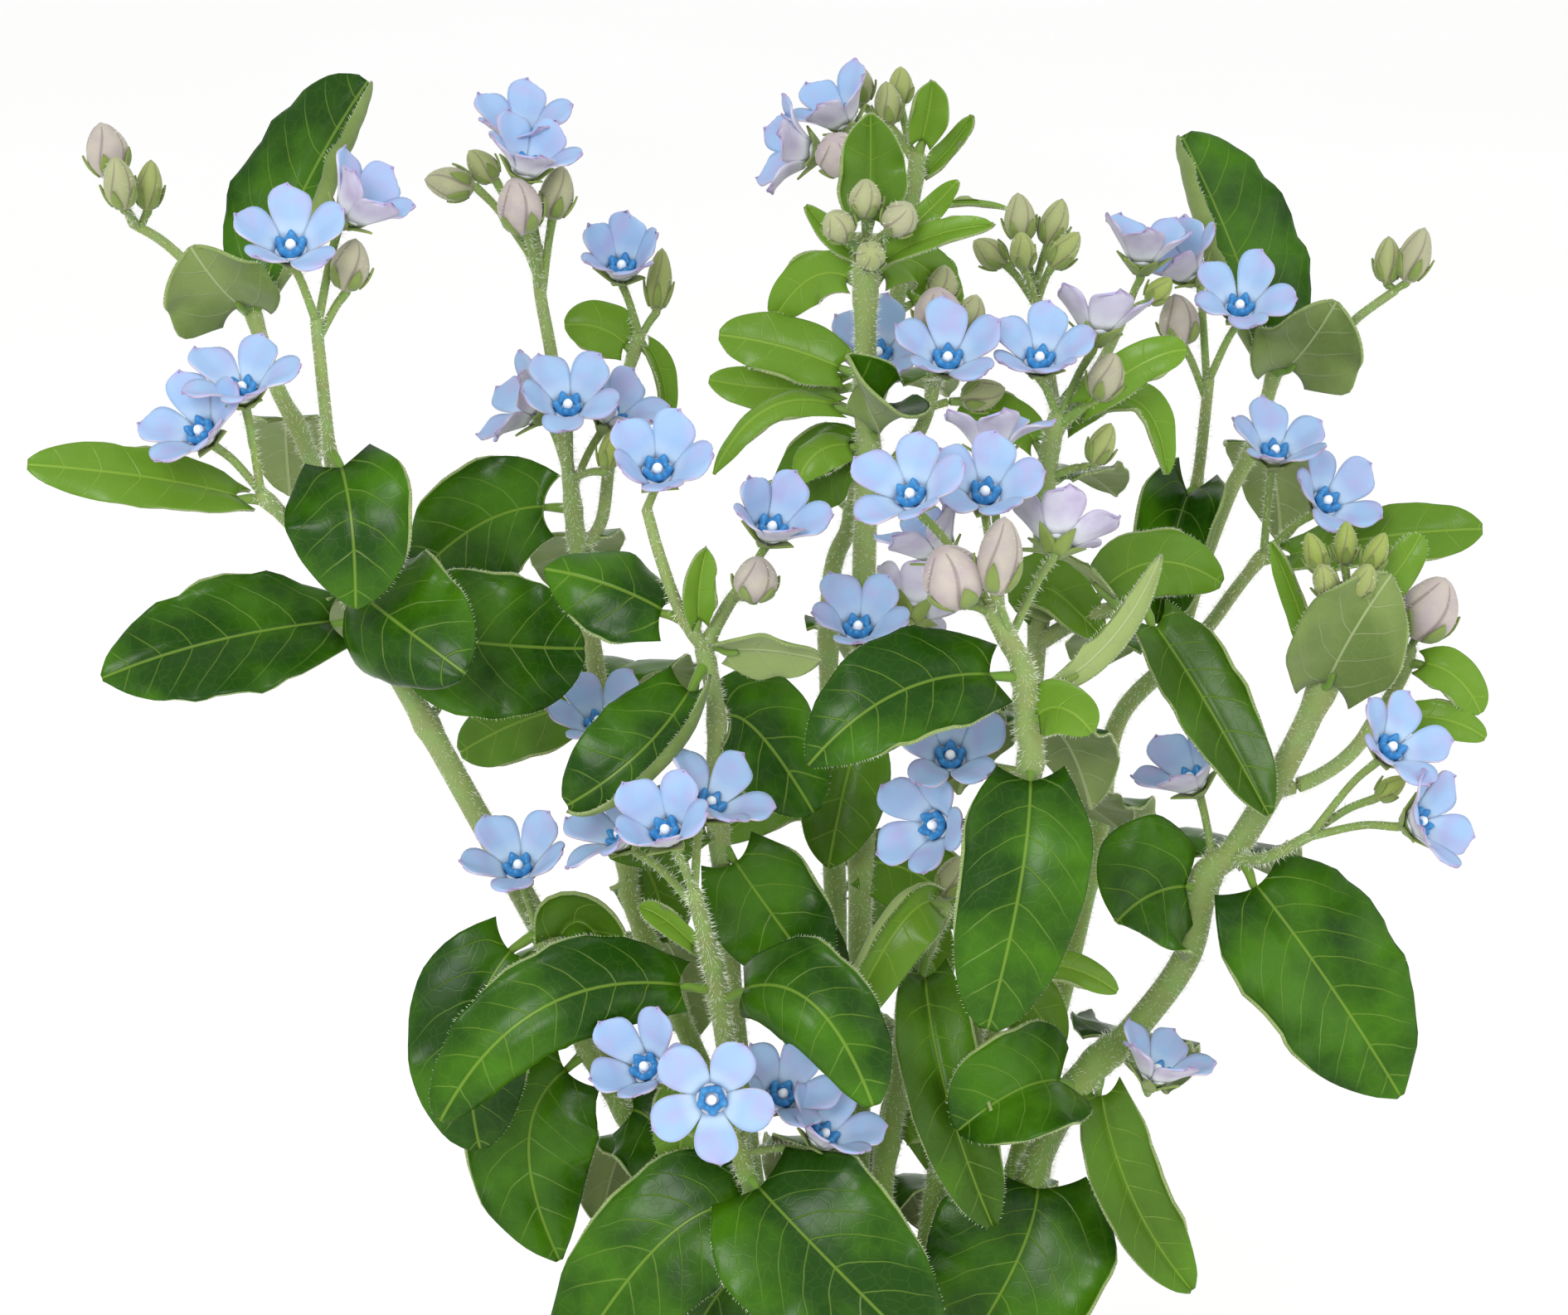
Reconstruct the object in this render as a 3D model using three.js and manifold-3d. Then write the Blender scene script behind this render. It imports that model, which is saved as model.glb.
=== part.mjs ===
// A tweedia in a plain clay pot: forked hairy stems with heart-based leaves, buds and sky-blue star flowers.
// Millimetres, +Z up. The origin is the middle of the pot's underside, and the viewer stands on the -Y side.
import * as THREE from 'three';
import { mergeVertices } from 'three/addons/utils/BufferGeometryUtils.js';
import Module from 'manifold-3d';

const wasm = await Module();
wasm.setup();

// Pot and soil
const POT_HEIGHT = 115;
const POT_BASE_RADIUS = 47;
const POT_RIM_RADIUS = 68;
const POT_BAND_HEIGHT = 20;
const POT_BAND_STEP = 2.6;
const POT_WALL = 4.2;
const POT_FLOOR = 6;
const POT_SIDES = 28;
const DRAIN_COUNT = 4;
const DRAIN_RADIUS = 5.5;
const DRAIN_SIDES = 8;
const DRAIN_PITCH_RADIUS = 24;
const SOIL_LEVEL = 105;
const SOIL_DROP = 3;
const SOIL_SIDES = 16;
const SOIL_LUMP = 1.1;
const SEAT_GAP = 0.3;
const STEM_DEPTH = 14;

// Viewing frame in which the plant is laid out: the layout plane stands through the stem crown, square to the
// line of sight, with u to the right and v up in it, and "back" is the distance behind the pot's axis.
const VIEW_ELEVATION = THREE.MathUtils.degToRad(15);
const VIEW_DISTANCE = 1000;
const VIEW_AIM = [-14.9, 161.2];
const CROWN = new THREE.Vector3(0, 0, SOIL_LEVEL);

// Leaf blades
const BLADE_THICKNESS = 0.75;
const BLADE_WIDEST_AT = 0.32;
const BLADE_BASE_SHARE = 0.5;
const BLADE_END = 0.965;
const BLADE_ROUNDING = 2.3;
const LOBE_REACH = 0.1;
const LOBE_LIMIT = 3.2;
const LOBE_END = 0.34;
const WAVE_COUNT = 1.6;
const LONG_BLADE = 27;
const PETIOLE_HALF_WIDTH = 1.1;
const PETIOLE_THICKNESS = 1.5;
const PETIOLE_SUNK = 1;
const PETIOLE_LENGTH = 7;
const PETIOLE_SHARE = 0.2;
const NARROW_BLADE = 14.5;
const BLADE_ROWS = { long: [0, 0.26, 0.7, 1], short: [0.04, 0.55, 1], narrow: [0.4, 1] };

// Each style: upward fold of the left and right half in radians, further curl at the left and right margin,
// wave height as a share of the half width, and how blunt the tip is (small is blunt).
const STYLES = {
  "flat": [0.1, 0.1, -0.35, -0.35, 0.05, 0.5],
  "heart": [0.14, 0.14, -0.4, -0.4, 0.05, 0.75],
  "trough": [0.45, 0.45, -0.1, -0.1, 0.06, 0.55],
  "cup": [0.75, 0.75, 0.2, 0.2, 0.05, 0.6],
  "saddle": [-0.3, -0.3, -0.5, -0.5, 0.08, 0.7],
  "rim_left": [0.1, 0.1, 2.4, -0.3, 0.05, 0.45],
  "rim_right": [0.1, 0.1, -0.3, 2.4, 0.05, 0.45],
  "curl_left": [-0.2, 0.1, -1.8, -0.4, 0.06, 0.5],
  "curl_right": [0.1, -0.2, -0.4, -1.8, 0.06, 0.5],
};

// Flowers
const BLOOM_RADIUS = 12.2;
const THROAT_RADIUS = 2.9;
const PETAL_WIDEST_AT = 9.3;
const PETAL_HALF_WIDTH = 3.8;
const PETAL_THICKNESS = 0.7;
const CROWN_RADIUS = 2.0;
const CROWN_HEIGHT = 2.2;
const CROWN_PIT = 1.0;
const CALYX_DROP = 1.05;
const SEPAL_RADIUS = 3.8;
const SEPAL_DROP = 0.15;
const CALYX_LENGTH = 4.2;

// Stems, flower stalks and buds
const STEM_SIDES = 5;
const BRANCH_SIDES = 4;
const PEDICEL_RADIUS = 0.8;
const STALK_OVERRUN = 1.2;
const PEDICEL_STEP = 2.2;
const BUD_RINGS = [[-0.2, 0.5], [0.2, 0.42]];

// The plant, stem by stem, in the viewing frame's millimetres. Stalk: radius at its foot and top, then points
// [u, v, back]. Leaf: foot [u, v], middle and tip [u, v, further back], width, facing at foot and tip as
// [right, up, towards the viewer], style. Bloom: its node, middle, facing, cup angle, foot on the stalk.
// Bud: middle, direction, length, width, foot on the stalk.
const PLAN = [
  {
    "name": "stem_left", "root": [-20, -2],
    "stalks": [
      [2.7, 2.1, [[-40, 62, -11], [-60, 100, -20], [-74.5, 126, -29], [-88, 150, -32], [-101, 173, -36]]],
      [1.5, 1.3, [[-101, 173, -36], [-107, 179, -42], [-113, 187, -51], [-120, 194, -58]]],
      [1.7, 1.4, [[-101, 173, -36], [-106, 190, -31], [-112, 206, -24], [-117, 216, -19], [-121.5, 230, -14]]],
      [1.2, 1.1, [[-105, 186, -32], [-106, 200, -44], [-107, 210, -51], [-109, 229, -56]]],
      [1.0, 0.9, [[-121.5, 230, -14], [-133, 239, -10], [-140, 245, -7], [-146, 248.5, -7]]],
    ],
    "leaves": [
      [[-121, 231], [-111.5, 255, 5], [-98.5, 277, 8], 29, [-0.3, 0.1, 1], [-0.5, 0.3, 0.8], "rim_right"],
      [[-122, 231], [-128, 236, -8], [-134, 244, -12], 26, [0.1, 0.5, -0.9], [0.1, 0.2, -1], "saddle"],
      [[-119, 192], [-141, 197, -6], [-167, 200, -10], 14, [0, 0.9, 0.4], [0.1, 0.3, 1], "flat"],
      [[-105, 203], [-102, 190, -12], [-101, 171, -12], 27, [-0.1, 0.5, 0.9], [0, 0, 1], "heart"],
      [[-99, 169], [-127, 165, -5], [-152, 157, -8], 28, [-0.1, 0.8, 0.6], [-0.1, 0.6, 0.8], "heart"],
      [[-101, 175], [-95, 170, -14], [-79, 158, -22], 31, [0, 0.5, 0.85], [0.1, 0.5, 0.85], "curl_right"],
      [[-97, 167], [-75, 164, 4], [-55, 163, 8], 31, [0.1, 0.5, 0.8], [0.2, 0.4, 0.9], "flat"],
      [[-101, 173], [-100, 170, 20], [-97, 163, 42], 22, [0, 1, 0], [0, 0.9, -0.5], "heart"],
      [[-114, 208], [-115, 207, 14], [-114, 194, 26], 17, [0, 1, 0], [0, 0.8, -0.6], "flat"],
      [[-86, 147], [-79, 160, 16], [-72, 156, 32], 20, [0, 1, 0], [0.2, 0.8, -0.6], "heart"],
      [[-38, 58], [-46, 65, 14], [-52, 47, 26], 24, [-0.1, 1, 0], [-0.3, 0.8, -0.4], "heart"],
    ],
    "blooms": [
      ["bloom_01", [-114, 243.4, -4.5], [0, 0.98, 0.7], 0.56, [-109, 229]],
      ["bloom_02", [-101.7, 250.6, 6.6], [0.6, 0.7, 0.2], 0.9, [-109, 229]],
      ["bloom_03", [-123.7, 214.6, -5.1], [-0.1, 0.9, 0.35], 0.62, [-120, 194]],
      ["bloom_03", [-131.9, 206.3, -6.4], [-0.5, 0.78, 0.7], 0.62, [-120, 194]],
    ],
    "buds": [
      [[-151, 263, -2], [-0.2, 1, 0], 11, 8, [-146, 248.5]],
      [[-148.5, 256.5, -9], [-0.1, 1, 0.3], 11, 6, [-146, 248.5]],
      [[-142.5, 256, 0], [0.1, 1, 0], 10, 5, [-146, 248.5]],
      [[-102, 240, 4], [0.2, 1, 0], 10, 7, [-109, 229]],
    ],
  },
  {
    "name": "stem_left_inner", "root": [-13, 10],
    "stalks": [
      [2.2, 1.6, [[-20, 50, 8], [-44, 108, 13], [-46.5, 120, 13], [-52, 155, 14], [-56, 180, 14], [-58, 198, 10]]],
      [1.3, 1.1, [[-58, 197, 10], [-61.5, 221, 14], [-64, 235, 14], [-64.5, 244, 14]]],
      [1.3, 1.1, [[-55, 183, 14], [-51.5, 189, 20], [-50, 200, 27], [-47.5, 214, 31], [-44, 226, 31]]],
    ],
    "leaves": [
      [[-57.5, 191], [-74, 189, 6], [-90, 176, 8], 25, [0.1, 0.5, 0.9], [-0.2, 0.3, 0.9], "heart"],
      [[-52, 152], [-66, 149, 6], [-80, 142, 10], 17, [0, 0.4, 0.9], [-0.2, 0.5, 0.8], "flat"],
      [[-45, 222], [-51, 227, 0], [-59, 228, 0], 12, [0, 0.6, 0.8], [0, 0.5, 0.9], "flat"],
      [[-44, 225], [-40, 219, 3], [-38.5, 208, 5], 6.5, [0.5, 0.5, 0.7], [0.5, 0.2, 0.8], "trough"],
      [[-57, 185], [-57, 184, 20], [-60, 174, 40], 20, [0, 1, 0], [0, 0.8, -0.6], "heart"],
      [[-52, 152], [-44, 160, 18], [-36, 147, 30], 23, [0, 1, -0.1], [0.2, 0.7, -0.6], "heart"],
      [[-42, 104], [-37, 102, 16], [-33, 84, 28], 24, [0, 1, -0.1], [-0.2, 0.7, -0.6], "heart"],
      [[-46.5, 121], [-42, 118, 4], [-38, 104, 6], 17, [0, 0.5, 0.9], [-0.2, 0.3, 0.9], "flat"],
      [[-24, 60], [-32, 58, 18], [-40, 40, 30], 28, [0, 1, 0], [-0.2, 0.8, -0.6], "heart"],
      [[-15, 30], [-18, 34, 18], [-27, 26, 36], 24, [0, 1, 0], [-0.2, 0.8, -0.6], "flat"],
    ],
    "blooms": [
      ["bloom_04", [-68, 265.6, 5.1], [0, 0.9, 0.4], 0.8, [-64.5, 244]],
      ["bloom_04", [-66.8, 259.6, -7.2], [0.3, 0.9, 0.3], 0.8, [-64.5, 244]],
      ["bloom_05", [-58.3, 211.4, -10.5], [0, 0.98, 0.7], 0.62, [-58, 198]],
      ["bloom_06", [-65.8, 210.7, 2.5], [-0.8, 0.5, 0.2], 0.67, [-58, 198]],
      ["bloom_05", [-49.8, 209.3, -1.5], [0.5, 0.8, 0.2], 0.72, [-58, 198]],
      ["bloom_07", [-47.5, 239.3, -2.7], [0, 0.85, 0.5], 0.9, [-44, 226]],
      ["bloom_08", [-52, 147.7, -12.8], [-0.2, 0.98, 0.5], 0.62, [-49, 136]],
    ],
    "buds": [
      [[-82, 256.5, 2], [-1, 0.15, 0], 10, 6.5, [-64.5, 244]],
      [[-75.5, 260, 6], [-0.7, 0.8, 0], 8, 5.5, [-64.5, 244]],
      [[-68, 252, -10], [-0.2, 1, 0.3], 12, 8.5, [-64.5, 244]],
      [[-60.5, 254.5, 0], [0.2, 1, 0], 11, 6.5, [-64.5, 244]],
      [[-40, 237, 2], [0.1, 1, 0], 13, 5, [-44, 226]],
      [[-50, 203, -6], [0.2, 1, 0], 9, 4, [-58, 197]],
    ],
  },
  {
    "name": "stem_centre_left", "root": [-9, -12],
    "stalks": [
      [2.0, 1.5, [[-20, 50, -25], [-28, 125, -43], [-28.5, 150, -46], [-31, 163, -48]]],
      [1.3, 1.1, [[-31, 163, -48], [-26, 172, -46], [-22, 177, -46]]],
      [1.2, 1.0, [[-31, 163, -48], [-36, 171, -51], [-40, 182, -53], [-42.5, 191, -54]]],
    ],
    "leaves": [
      [[-35, 168], [-48, 175, 0], [-63, 179, 3], 22, [0, 0.7, 0.7], [0, 0.6, 0.8], "saddle"],
      [[-32, 167], [-32, 175, -3], [-30.5, 183, -4], 8, [0.3, 0.1, 1], [0.2, 0, 1], "trough"],
      [[-31, 160], [-42, 144, -12], [-58.5, 131.5, -14], 23, [-0.2, 0.5, 0.8], [0, 0.3, 1], "rim_left"],
      [[-29, 163], [-18, 163, -5], [-7, 161, -8], 14, [0, 0.5, -0.8], [0, 0.4, -0.8], "saddle"],
      [[-28, 148], [-21, 147, 4], [-9, 130, 6], 24, [0.2, 0.4, 0.9], [0.3, 0.2, 0.9], "flat"],
      [[-28, 125], [-19, 112, -2], [-8, 97, -4], 24, [0, 0.3, 1], [0.1, 0.2, 1], "flat"],
      [[-28, 128], [-39, 127, 4], [-50, 121, 6], 17, [0, 0.6, 0.8], [-0.2, 0.4, 0.9], "heart"],
      [[-26, 108], [-14, 105, 8], [-4, 91, 12], 20, [0, 0.4, 0.9], [0, 0.2, 1], "heart"],
    ],
    "blooms": [
      ["bloom_09", [-40.3, 198.6, -3.3], [0, 0.88, 0.8], 0.75, [-42.5, 191]],
      ["bloom_10", [-17.5, 186.8, -1.7], [0.2, 0.8, 0.5], 0.85, [-22, 177]],
    ],
    "buds": [
      [[-20.5, 177, -7], [0.1, 1, 0.2], 9, 8, [-25, 173]],
    ],
  },
  {
    "name": "stem_centre", "root": [0, -3],
    "stalks": [
      [2.4, 2.0, [[0, 60, -7], [1, 165, -14], [1.5, 190, -14], [2, 208, -14], [1.5, 222, -14], [1.5, 245, -14]]],
      [1.4, 1.2, [[1.7, 192, -14], [7, 200, -8], [12.5, 207, -8], [15.5, 216, -8]]],
    ],
    "leaves": [
      [[2, 209], [4, 208, -9], [-2, 222, -15], 22, [0, 1, 0.3], [0, 0.9, 0.5], "cup"],
      [[1.5, 217], [-13, 223, 3], [-28, 226, 4], 13.5, [0, 0.5, 0.9], [0, 0.4, 0.9], "flat"],
      [[1.5, 216], [-14, 215, 8], [-30, 217, 10], 10.5, [0, 0.7, 0.7], [-0.2, 0.5, 0.8], "flat"],
      [[2, 209], [-16, 212, -2], [-29, 198, -4], 7.5, [0, 0.8, 0.6], [-0.5, 0.5, 0.7], "saddle"],
      [[2, 203], [-7, 203, -4], [-12, 196, -6], 10, [0, 0.7, 0.7], [-0.2, 0.5, 0.8], "saddle"],
      [[1.5, 200], [-6, 200, 4], [-16, 190, 6], 17, [-0.2, 0.5, 0.8], [-0.3, 0.3, 0.9], "flat"],
      [[2, 245], [2.5, 257, 6], [2.5, 270.5, 5], 16, [0, 0.1, 1], [0, 0.2, 1], "trough"],
      [[1.5, 241], [-4, 245, 3], [-10.5, 252, 3], 6, [0, 0.5, 0.8], [0, 0.3, 0.9], "trough"],
      [[1.5, 241], [11, 248, 4], [20, 257, 3], 6, [0, 0.5, 0.8], [0, 0.4, 0.9], "flat"],
      [[1.5, 238], [13, 245, -5], [27, 248, -7], 7.5, [0, 0.7, 0.7], [0, 0.6, 0.8], "trough"],
      [[1.5, 235], [-8, 238, 6], [-17, 229, 10], 11, [0, 0.6, 0.8], [0, 0.4, 0.9], "flat"],
      [[1.5, 233], [10, 241, 12], [20, 231, 16], 12, [0, 0.6, 0.8], [0.2, 0.4, 0.9], "flat"],
      [[1, 150], [-3, 134, -6], [-6, 119, -8], 18, [0.2, 0.2, 1], [0, 0, 1], "heart"],
      [[0.5, 120], [13, 117, 6], [24, 106, 10], 17, [0, 0.3, 0.9], [0.1, 0.2, 0.9], "heart"],
    ],
    "blooms": [
      ["bloom_11", [0, 166.8, -11.6], [0, 0.8, 0.5], 0.72, [1, 150]],
      ["bloom_12", [10.7, 170.1, 3.6], [0.1, 0.3, -0.8], 0.72, [1, 152]],
      ["bloom_13", [18, 220.9, -13.5], [0, 0.8, 0.55], 0.62, [15.5, 216]],
    ],
    "buds": [
      [[1.5, 253.5, -6], [0, 1, 0.3], 8, 6, [1.5, 245]],
      [[8.5, 249.5, -9], [0.4, 0.7, 0.6], 8, 6.5, [1.5, 245]],
      [[-4, 248, -9], [-0.4, 0.7, 0.6], 7.5, 6, [1.5, 245]],
      [[2.5, 242, -13], [0, 0.4, 0.9], 7, 5.5, [1.5, 245]],
      [[16, 231, 0], [-0.1, 1, 0.3], 9.5, 9, [15.5, 216]],
      [[22.5, 230, 3], [0.3, 1, 0.1], 8.5, 6, [15.5, 216]],
      [[17, 236, 7], [0.1, 1, 0], 8, 6, [15.5, 216]],
      [[25, 214, 2], [1, 0.3, 0], 9, 6, [14, 211]],
    ],
  },
  {
    "name": "stem_centre_back", "root": [3, 10],
    "stalks": [
      [2.0, 1.5, [[-2, 60, 19], [-6, 165, 34], [-1, 190, 37], [4, 215, 41], [9, 240, 41], [12, 262, 41]]],
    ],
    "leaves": [
      [[12, 262], [14, 270, -1], [15, 277, -2], 9, [0, 0.1, 1], [0, 0.2, 1], "trough"],
      [[11.5, 257], [18, 263, 4], [23, 270, 5], 5, [0, 0.5, 0.8], [0, 0.5, 0.8], "trough"],
      [[10, 250], [20, 252.5, -3], [30, 251.5, -4], 3, [0, 1, 0.2], [0, 1, 0.2], "flat"],
      [[7, 230], [16, 236, 4], [20, 238, 6], 12, [0, 0.4, 0.9], [0.2, 0.4, 0.9], "flat"],
      [[9, 240], [4, 246, 14], [-4, 243, 28], 12, [0, 1, 0], [0, 0.9, -0.5], "flat"],
      [[4, 215], [10, 219, 16], [18, 214, 32], 18, [0, 1, 0], [0.2, 0.8, -0.6], "heart"],
      [[-1, 190], [-10, 196, 14], [-20, 190, 28], 18, [0, 1, 0], [-0.2, 0.8, -0.6], "heart"],
      [[-6, 165], [2, 165, 16], [10, 148, 28], 24, [0, 1, 0], [0.2, 0.8, -0.6], "heart"],
      [[-3, 131], [-15, 133, 9], [-28, 124, 13], 14, [0.1, 0.5, 0.85], [0, 0.4, 0.9], "trough"],
      [[-3, 116], [8, 112, 6], [17, 94, 8], 15, [0, 0.5, 0.85], [0, 0.4, 0.9], "flat"],
      [[-2, 62], [-6, 62, 20], [-10, 44, 36], 28, [0, 1, 0], [0, 0.8, -0.6], "heart"],
      [[0, 48], [8, 57, 18], [14, 45, 34], 24, [0, 1, 0], [0.2, 0.8, -0.6], "heart"],
    ],
    "blooms": [
      ["bloom_14", [-3, 269.4, -4.4], [-0.5, 0.8, 0.2], 0.77, [10, 250]],
      ["bloom_14", [-10.4, 262.8, -9], [-0.9, 0.2, 0.1], 0.8, [10, 247]],
      ["bloom_15", [4, 222, -10.4], [0, 0.88, 0.7], 0.62, [4, 210]],
    ],
    "buds": [
      [[0, 276.5, 12], [-0.2, 1, 0], 9, 6, [12, 262]],
      [[6, 272.5, 2], [-0.1, 1, 0], 9, 5.5, [12, 262]],
      [[8.5, 276, 10], [0, 1, 0], 8, 5, [12, 262]],
      [[-4, 262.5, -15.5], [-0.2, 0.7, 0.6], 9.5, 9, [10, 248]],
    ],
  },
  {
    "name": "stem_centre_right", "root": [10, -14],
    "stalks": [
      [2.4, 1.9, [[15, 50, -23], [23, 85, -38], [34, 135, -65], [34, 148, -66], [33, 159, -68], [30, 165, -70], [27, 171, -71]]],
    ],
    "leaves": [
      [[34.5, 141], [33, 118, -12], [26, 86.5, -14], 27, [0, 0.3, 1], [0, 0, 1], "flat"],
      [[32.5, 157], [10, 155, -14], [-10, 139.5, -18], 25, [-0.1, 0.6, 0.8], [-0.2, 0.4, 0.9], "heart"],
      [[34, 153], [50, 164, 2], [61, 182, 4], 6.5, [0.4, 0.4, -0.8], [0.4, 0.2, -0.9], "saddle"],
      [[34, 147], [40, 151, -5], [47, 146, -8], 13, [0.2, 0.6, 0.8], [0.3, 0.5, 0.8], "flat"],
      [[30, 98], [41, 99, 4], [52, 94, 6], 8, [0, 0.8, 0.6], [0, 0.6, 0.8], "flat"],
      [[27, 93], [34, 92, 8], [40, 82, 10], 14, [0.3, 0.3, 0.9], [0.3, 0.2, 0.9], "flat"],
      [[34, 146], [41, 146, 14], [47, 131, 26], 22, [0, 1, 0], [0.2, 0.8, -0.6], "heart"],
    ],
    "blooms": [
      ["bloom_16", [10.7, 193.5, -1.4], [-0.3, 0.88, 0.7], 0.61, [27, 171]],
      ["bloom_17", [25.5, 194, 12.7], [0, 0.88, 0.75], 0.62, [27, 171]],
      ["bloom_18", [27, 203.5, 28.4], [0, 0.8, -0.2], 0.62, [27, 171]],
      ["bloom_19", [15.9, 182.8, 19.7], [-0.5, 0.8, -0.1], 0.8, [27, 171]],
      ["bloom_20", [39.9, 184.7, 15.2], [0.2, 0.6, -0.6], 0.62, [27, 171]],
      ["bloom_21", [18.5, 141, 9], [0, 0.88, 0.75], 0.62, [34, 137]],
      ["bloom_21", [15.5, 127.5, 4], [-0.6, 0.28, 0.8], 0.62, [32, 126]],
    ],
    "buds": [
      [[19, 177.5, -5], [-0.4, 0.9, 0.3], 13, 11, [28, 169]],
      [[28.5, 181.5, -6], [0.1, 1, 0.1], 15, 8, [27, 171]],
    ],
  },
  {
    "name": "stem_right_inner", "root": [13, -2],
    "stalks": [
      [2.2, 1.5, [[30, 110, -6], [36, 165, -10], [37.5, 195, -10], [40, 210, -10]]],
      [1.2, 1.0, [[40, 210, -10], [39, 215, 2], [37, 228, 14], [35, 237, 14]]],
      [1.7, 1.3, [[36, 164, -10], [47, 170, -17], [57.5, 171, -22]]],
      [1.2, 1.0, [[40, 210, -10], [48, 219, 17], [54, 231, 31]]],
    ],
    "leaves": [
      [[40, 207], [55, 219, -4], [66, 223, -4], 9, [0, 0.4, 0.9], [0, 0.3, 0.9], "flat"],
      [[39.5, 207], [55, 213, 6], [62, 198, 6], 9.5, [0.2, 0.7, 0.7], [0.5, 0.4, 0.8], "trough"],
      [[39, 204], [46, 213, 12], [53, 214, 16], 9, [0, 0.4, 0.9], [0, 0.3, 0.9], "flat"],
      [[38, 200], [30, 210, 8], [20, 209, 12], 9, [0, 0.4, 0.9], [0, 0.3, 0.9], "flat"],
      [[52, 171], [44, 180, -8], [32, 183, -14], 5, [0, 1, 0], [0, 0.9, -0.3], "flat"],
      [[37, 168], [38, 175, -6], [49, 165, -8], 15, [0.1, 0.6, 0.8], [0.2, 0.4, 0.9], "trough"],
      [[45, 169.5], [58, 180, 4], [73, 176, 8], 15, [0, 0.6, 0.8], [0.1, 0.5, 0.8], "flat"],
      [[57, 171], [68, 155, -8], [82.5, 129.5, -18], 19, [0.3, 0.5, 0.8], [0.3, 0.2, 0.9], "trough"],
      [[37.5, 195], [44, 199, 16], [52, 194, 30], 18, [0, 1, 0], [0.2, 0.8, -0.6], "heart"],
      [[35, 150], [27, 150, 16], [20, 134, 28], 22, [0, 1, 0], [-0.2, 0.8, -0.6], "heart"],
      [[33, 132], [42, 134, 14], [54, 126, 28], 22, [0.1, 1, 0], [0.3, 0.8, -0.5], "heart"],
      [[22, 80], [14, 86, 16], [8, 71, 28], 24, [0.1, 1, 0], [0.2, 0.8, -0.6], "heart"],
    ],
    "blooms": [
      ["bloom_22", [36.5, 220.8, -7.7], [0, 1, 0.6], 0.62, [40, 210]],
      ["bloom_23", [48, 227.1, 3.2], [0.2, 0.9, -0.3], 0.67, [40, 210]],
      ["bloom_24", [57.2, 241.4, 0], [0.1, 0.95, 0], 0.8, [54, 231]],
    ],
    "buds": [
      [[50, 217.5, -3], [0.3, 1, 0.1], 10, 7, [40, 210]],
      [[32.5, 249.5, 0], [-0.1, 1, 0], 10, 6, [35, 237]],
      [[39.5, 248.5, 2], [0.3, 1, 0], 10, 5.5, [35, 237]],
      [[41.5, 243, -4], [0.6, 0.8, 0], 9, 5, [35, 237]],
      [[26.5, 242.5, 0], [-0.8, 0.6, 0], 8, 5.5, [35, 237]],
      [[33, 243, -6], [-0.1, 1, 0.3], 8, 5, [35, 237]],
      [[60.5, 235, -6], [0.6, 0.7, 0.2], 7, 4.5, [54, 231]],
      [[49, 204, -2], [0.4, 1, 0], 9, 5, [38, 198]],
    ],
  },
  {
    "name": "stem_right_back", "root": [18, 10],
    "stalks": [
      [2.2, 1.8, [[40, 90, 36], [48, 125, 50], [52, 148, 54], [63.5, 161, 51]]],
      [1.5, 1.2, [[63.5, 161, 51], [70, 167, 46], [76, 175, 41], [81.5, 182, 36]]],
      [1.7, 1.4, [[63.5, 161, 51], [68.5, 178, 54], [74.5, 194, 58], [79.5, 204, 60], [83.5, 218, 61]]],
      [1.2, 1.1, [[67.5, 174, 54], [67.5, 190, 44], [69, 203, 39], [70.5, 217, 36]]],
      [1.0, 0.9, [[83.5, 218, 61], [95, 224.5, 61], [101, 230, 60], [108, 235, 60]]],
    ],
    "leaves": [
      [[83.5, 219], [75.5, 243, 4], [65, 266, 8], 30, [0.3, 0.1, 1], [0.5, 0.3, 0.8], "rim_left"],
      [[84, 218], [90, 224, -8], [96, 233, -12], 25, [-0.1, 0.5, -0.9], [-0.1, 0.2, -1], "saddle"],
      [[80.5, 180], [103, 185, -4], [125.5, 187, -6], 15, [0, 0.9, 0.4], [0, 0.4, 0.9], "flat"],
      [[67.5, 196], [64, 187, -10], [60, 168, -12], 26, [0, 0.6, 0.8], [0, 0, 1], "cup"],
      [[78, 202], [83, 201, 12], [85, 184, 24], 19, [0.1, 1, 0], [0.2, 0.8, -0.5], "heart"],
      [[63, 161], [54, 166, 16], [46, 158, 34], 22, [0, 1, 0], [-0.2, 0.8, -0.6], "heart"],
      [[49, 130], [50, 132, 14], [54, 121, 28], 20, [0.1, 1, 0], [0.2, 0.8, -0.5], "heart"],
      [[46, 116], [36, 116, 18], [28, 102, 34], 24, [0, 1, 0], [-0.2, 0.8, -0.6], "heart"],
      [[29, 56], [29, 56, 20], [33, 40, 36], 24, [0.2, 1, 0], [0.3, 0.8, -0.6], "heart"],
      [[24, 34], [32, 34, 12], [40, 22, 24], 22, [0.2, 1, 0], [0.4, 0.8, -0.3], "flat"],
    ],
    "blooms": [
      ["bloom_25", [76.7, 231.4, -4.5], [0, 0.98, 0.7], 0.56, [70.5, 217]],
      ["bloom_26", [66.5, 238.9, 8.6], [-0.5, 0.7, 0.2], 0.72, [70.5, 217]],
      ["bloom_27", [83.7, 202.1, -7.1], [0.1, 0.9, 0.35], 0.62, [81.5, 182]],
      ["bloom_28", [93.9, 192.3, -6.4], [0.5, 0.78, 0.7], 0.62, [81.5, 182]],
    ],
    "buds": [
      [[64.5, 229, -2], [-0.2, 1, 0.1], 11, 8, [70.5, 217]],
      [[106.5, 241, 1], [0, 1, 0], 10, 5.5, [108, 235]],
      [[112, 242, -1], [0.3, 1, 0], 12, 6.5, [108, 235]],
    ],
  },
  {
    "name": "stem_right", "root": [23, -20],
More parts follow.
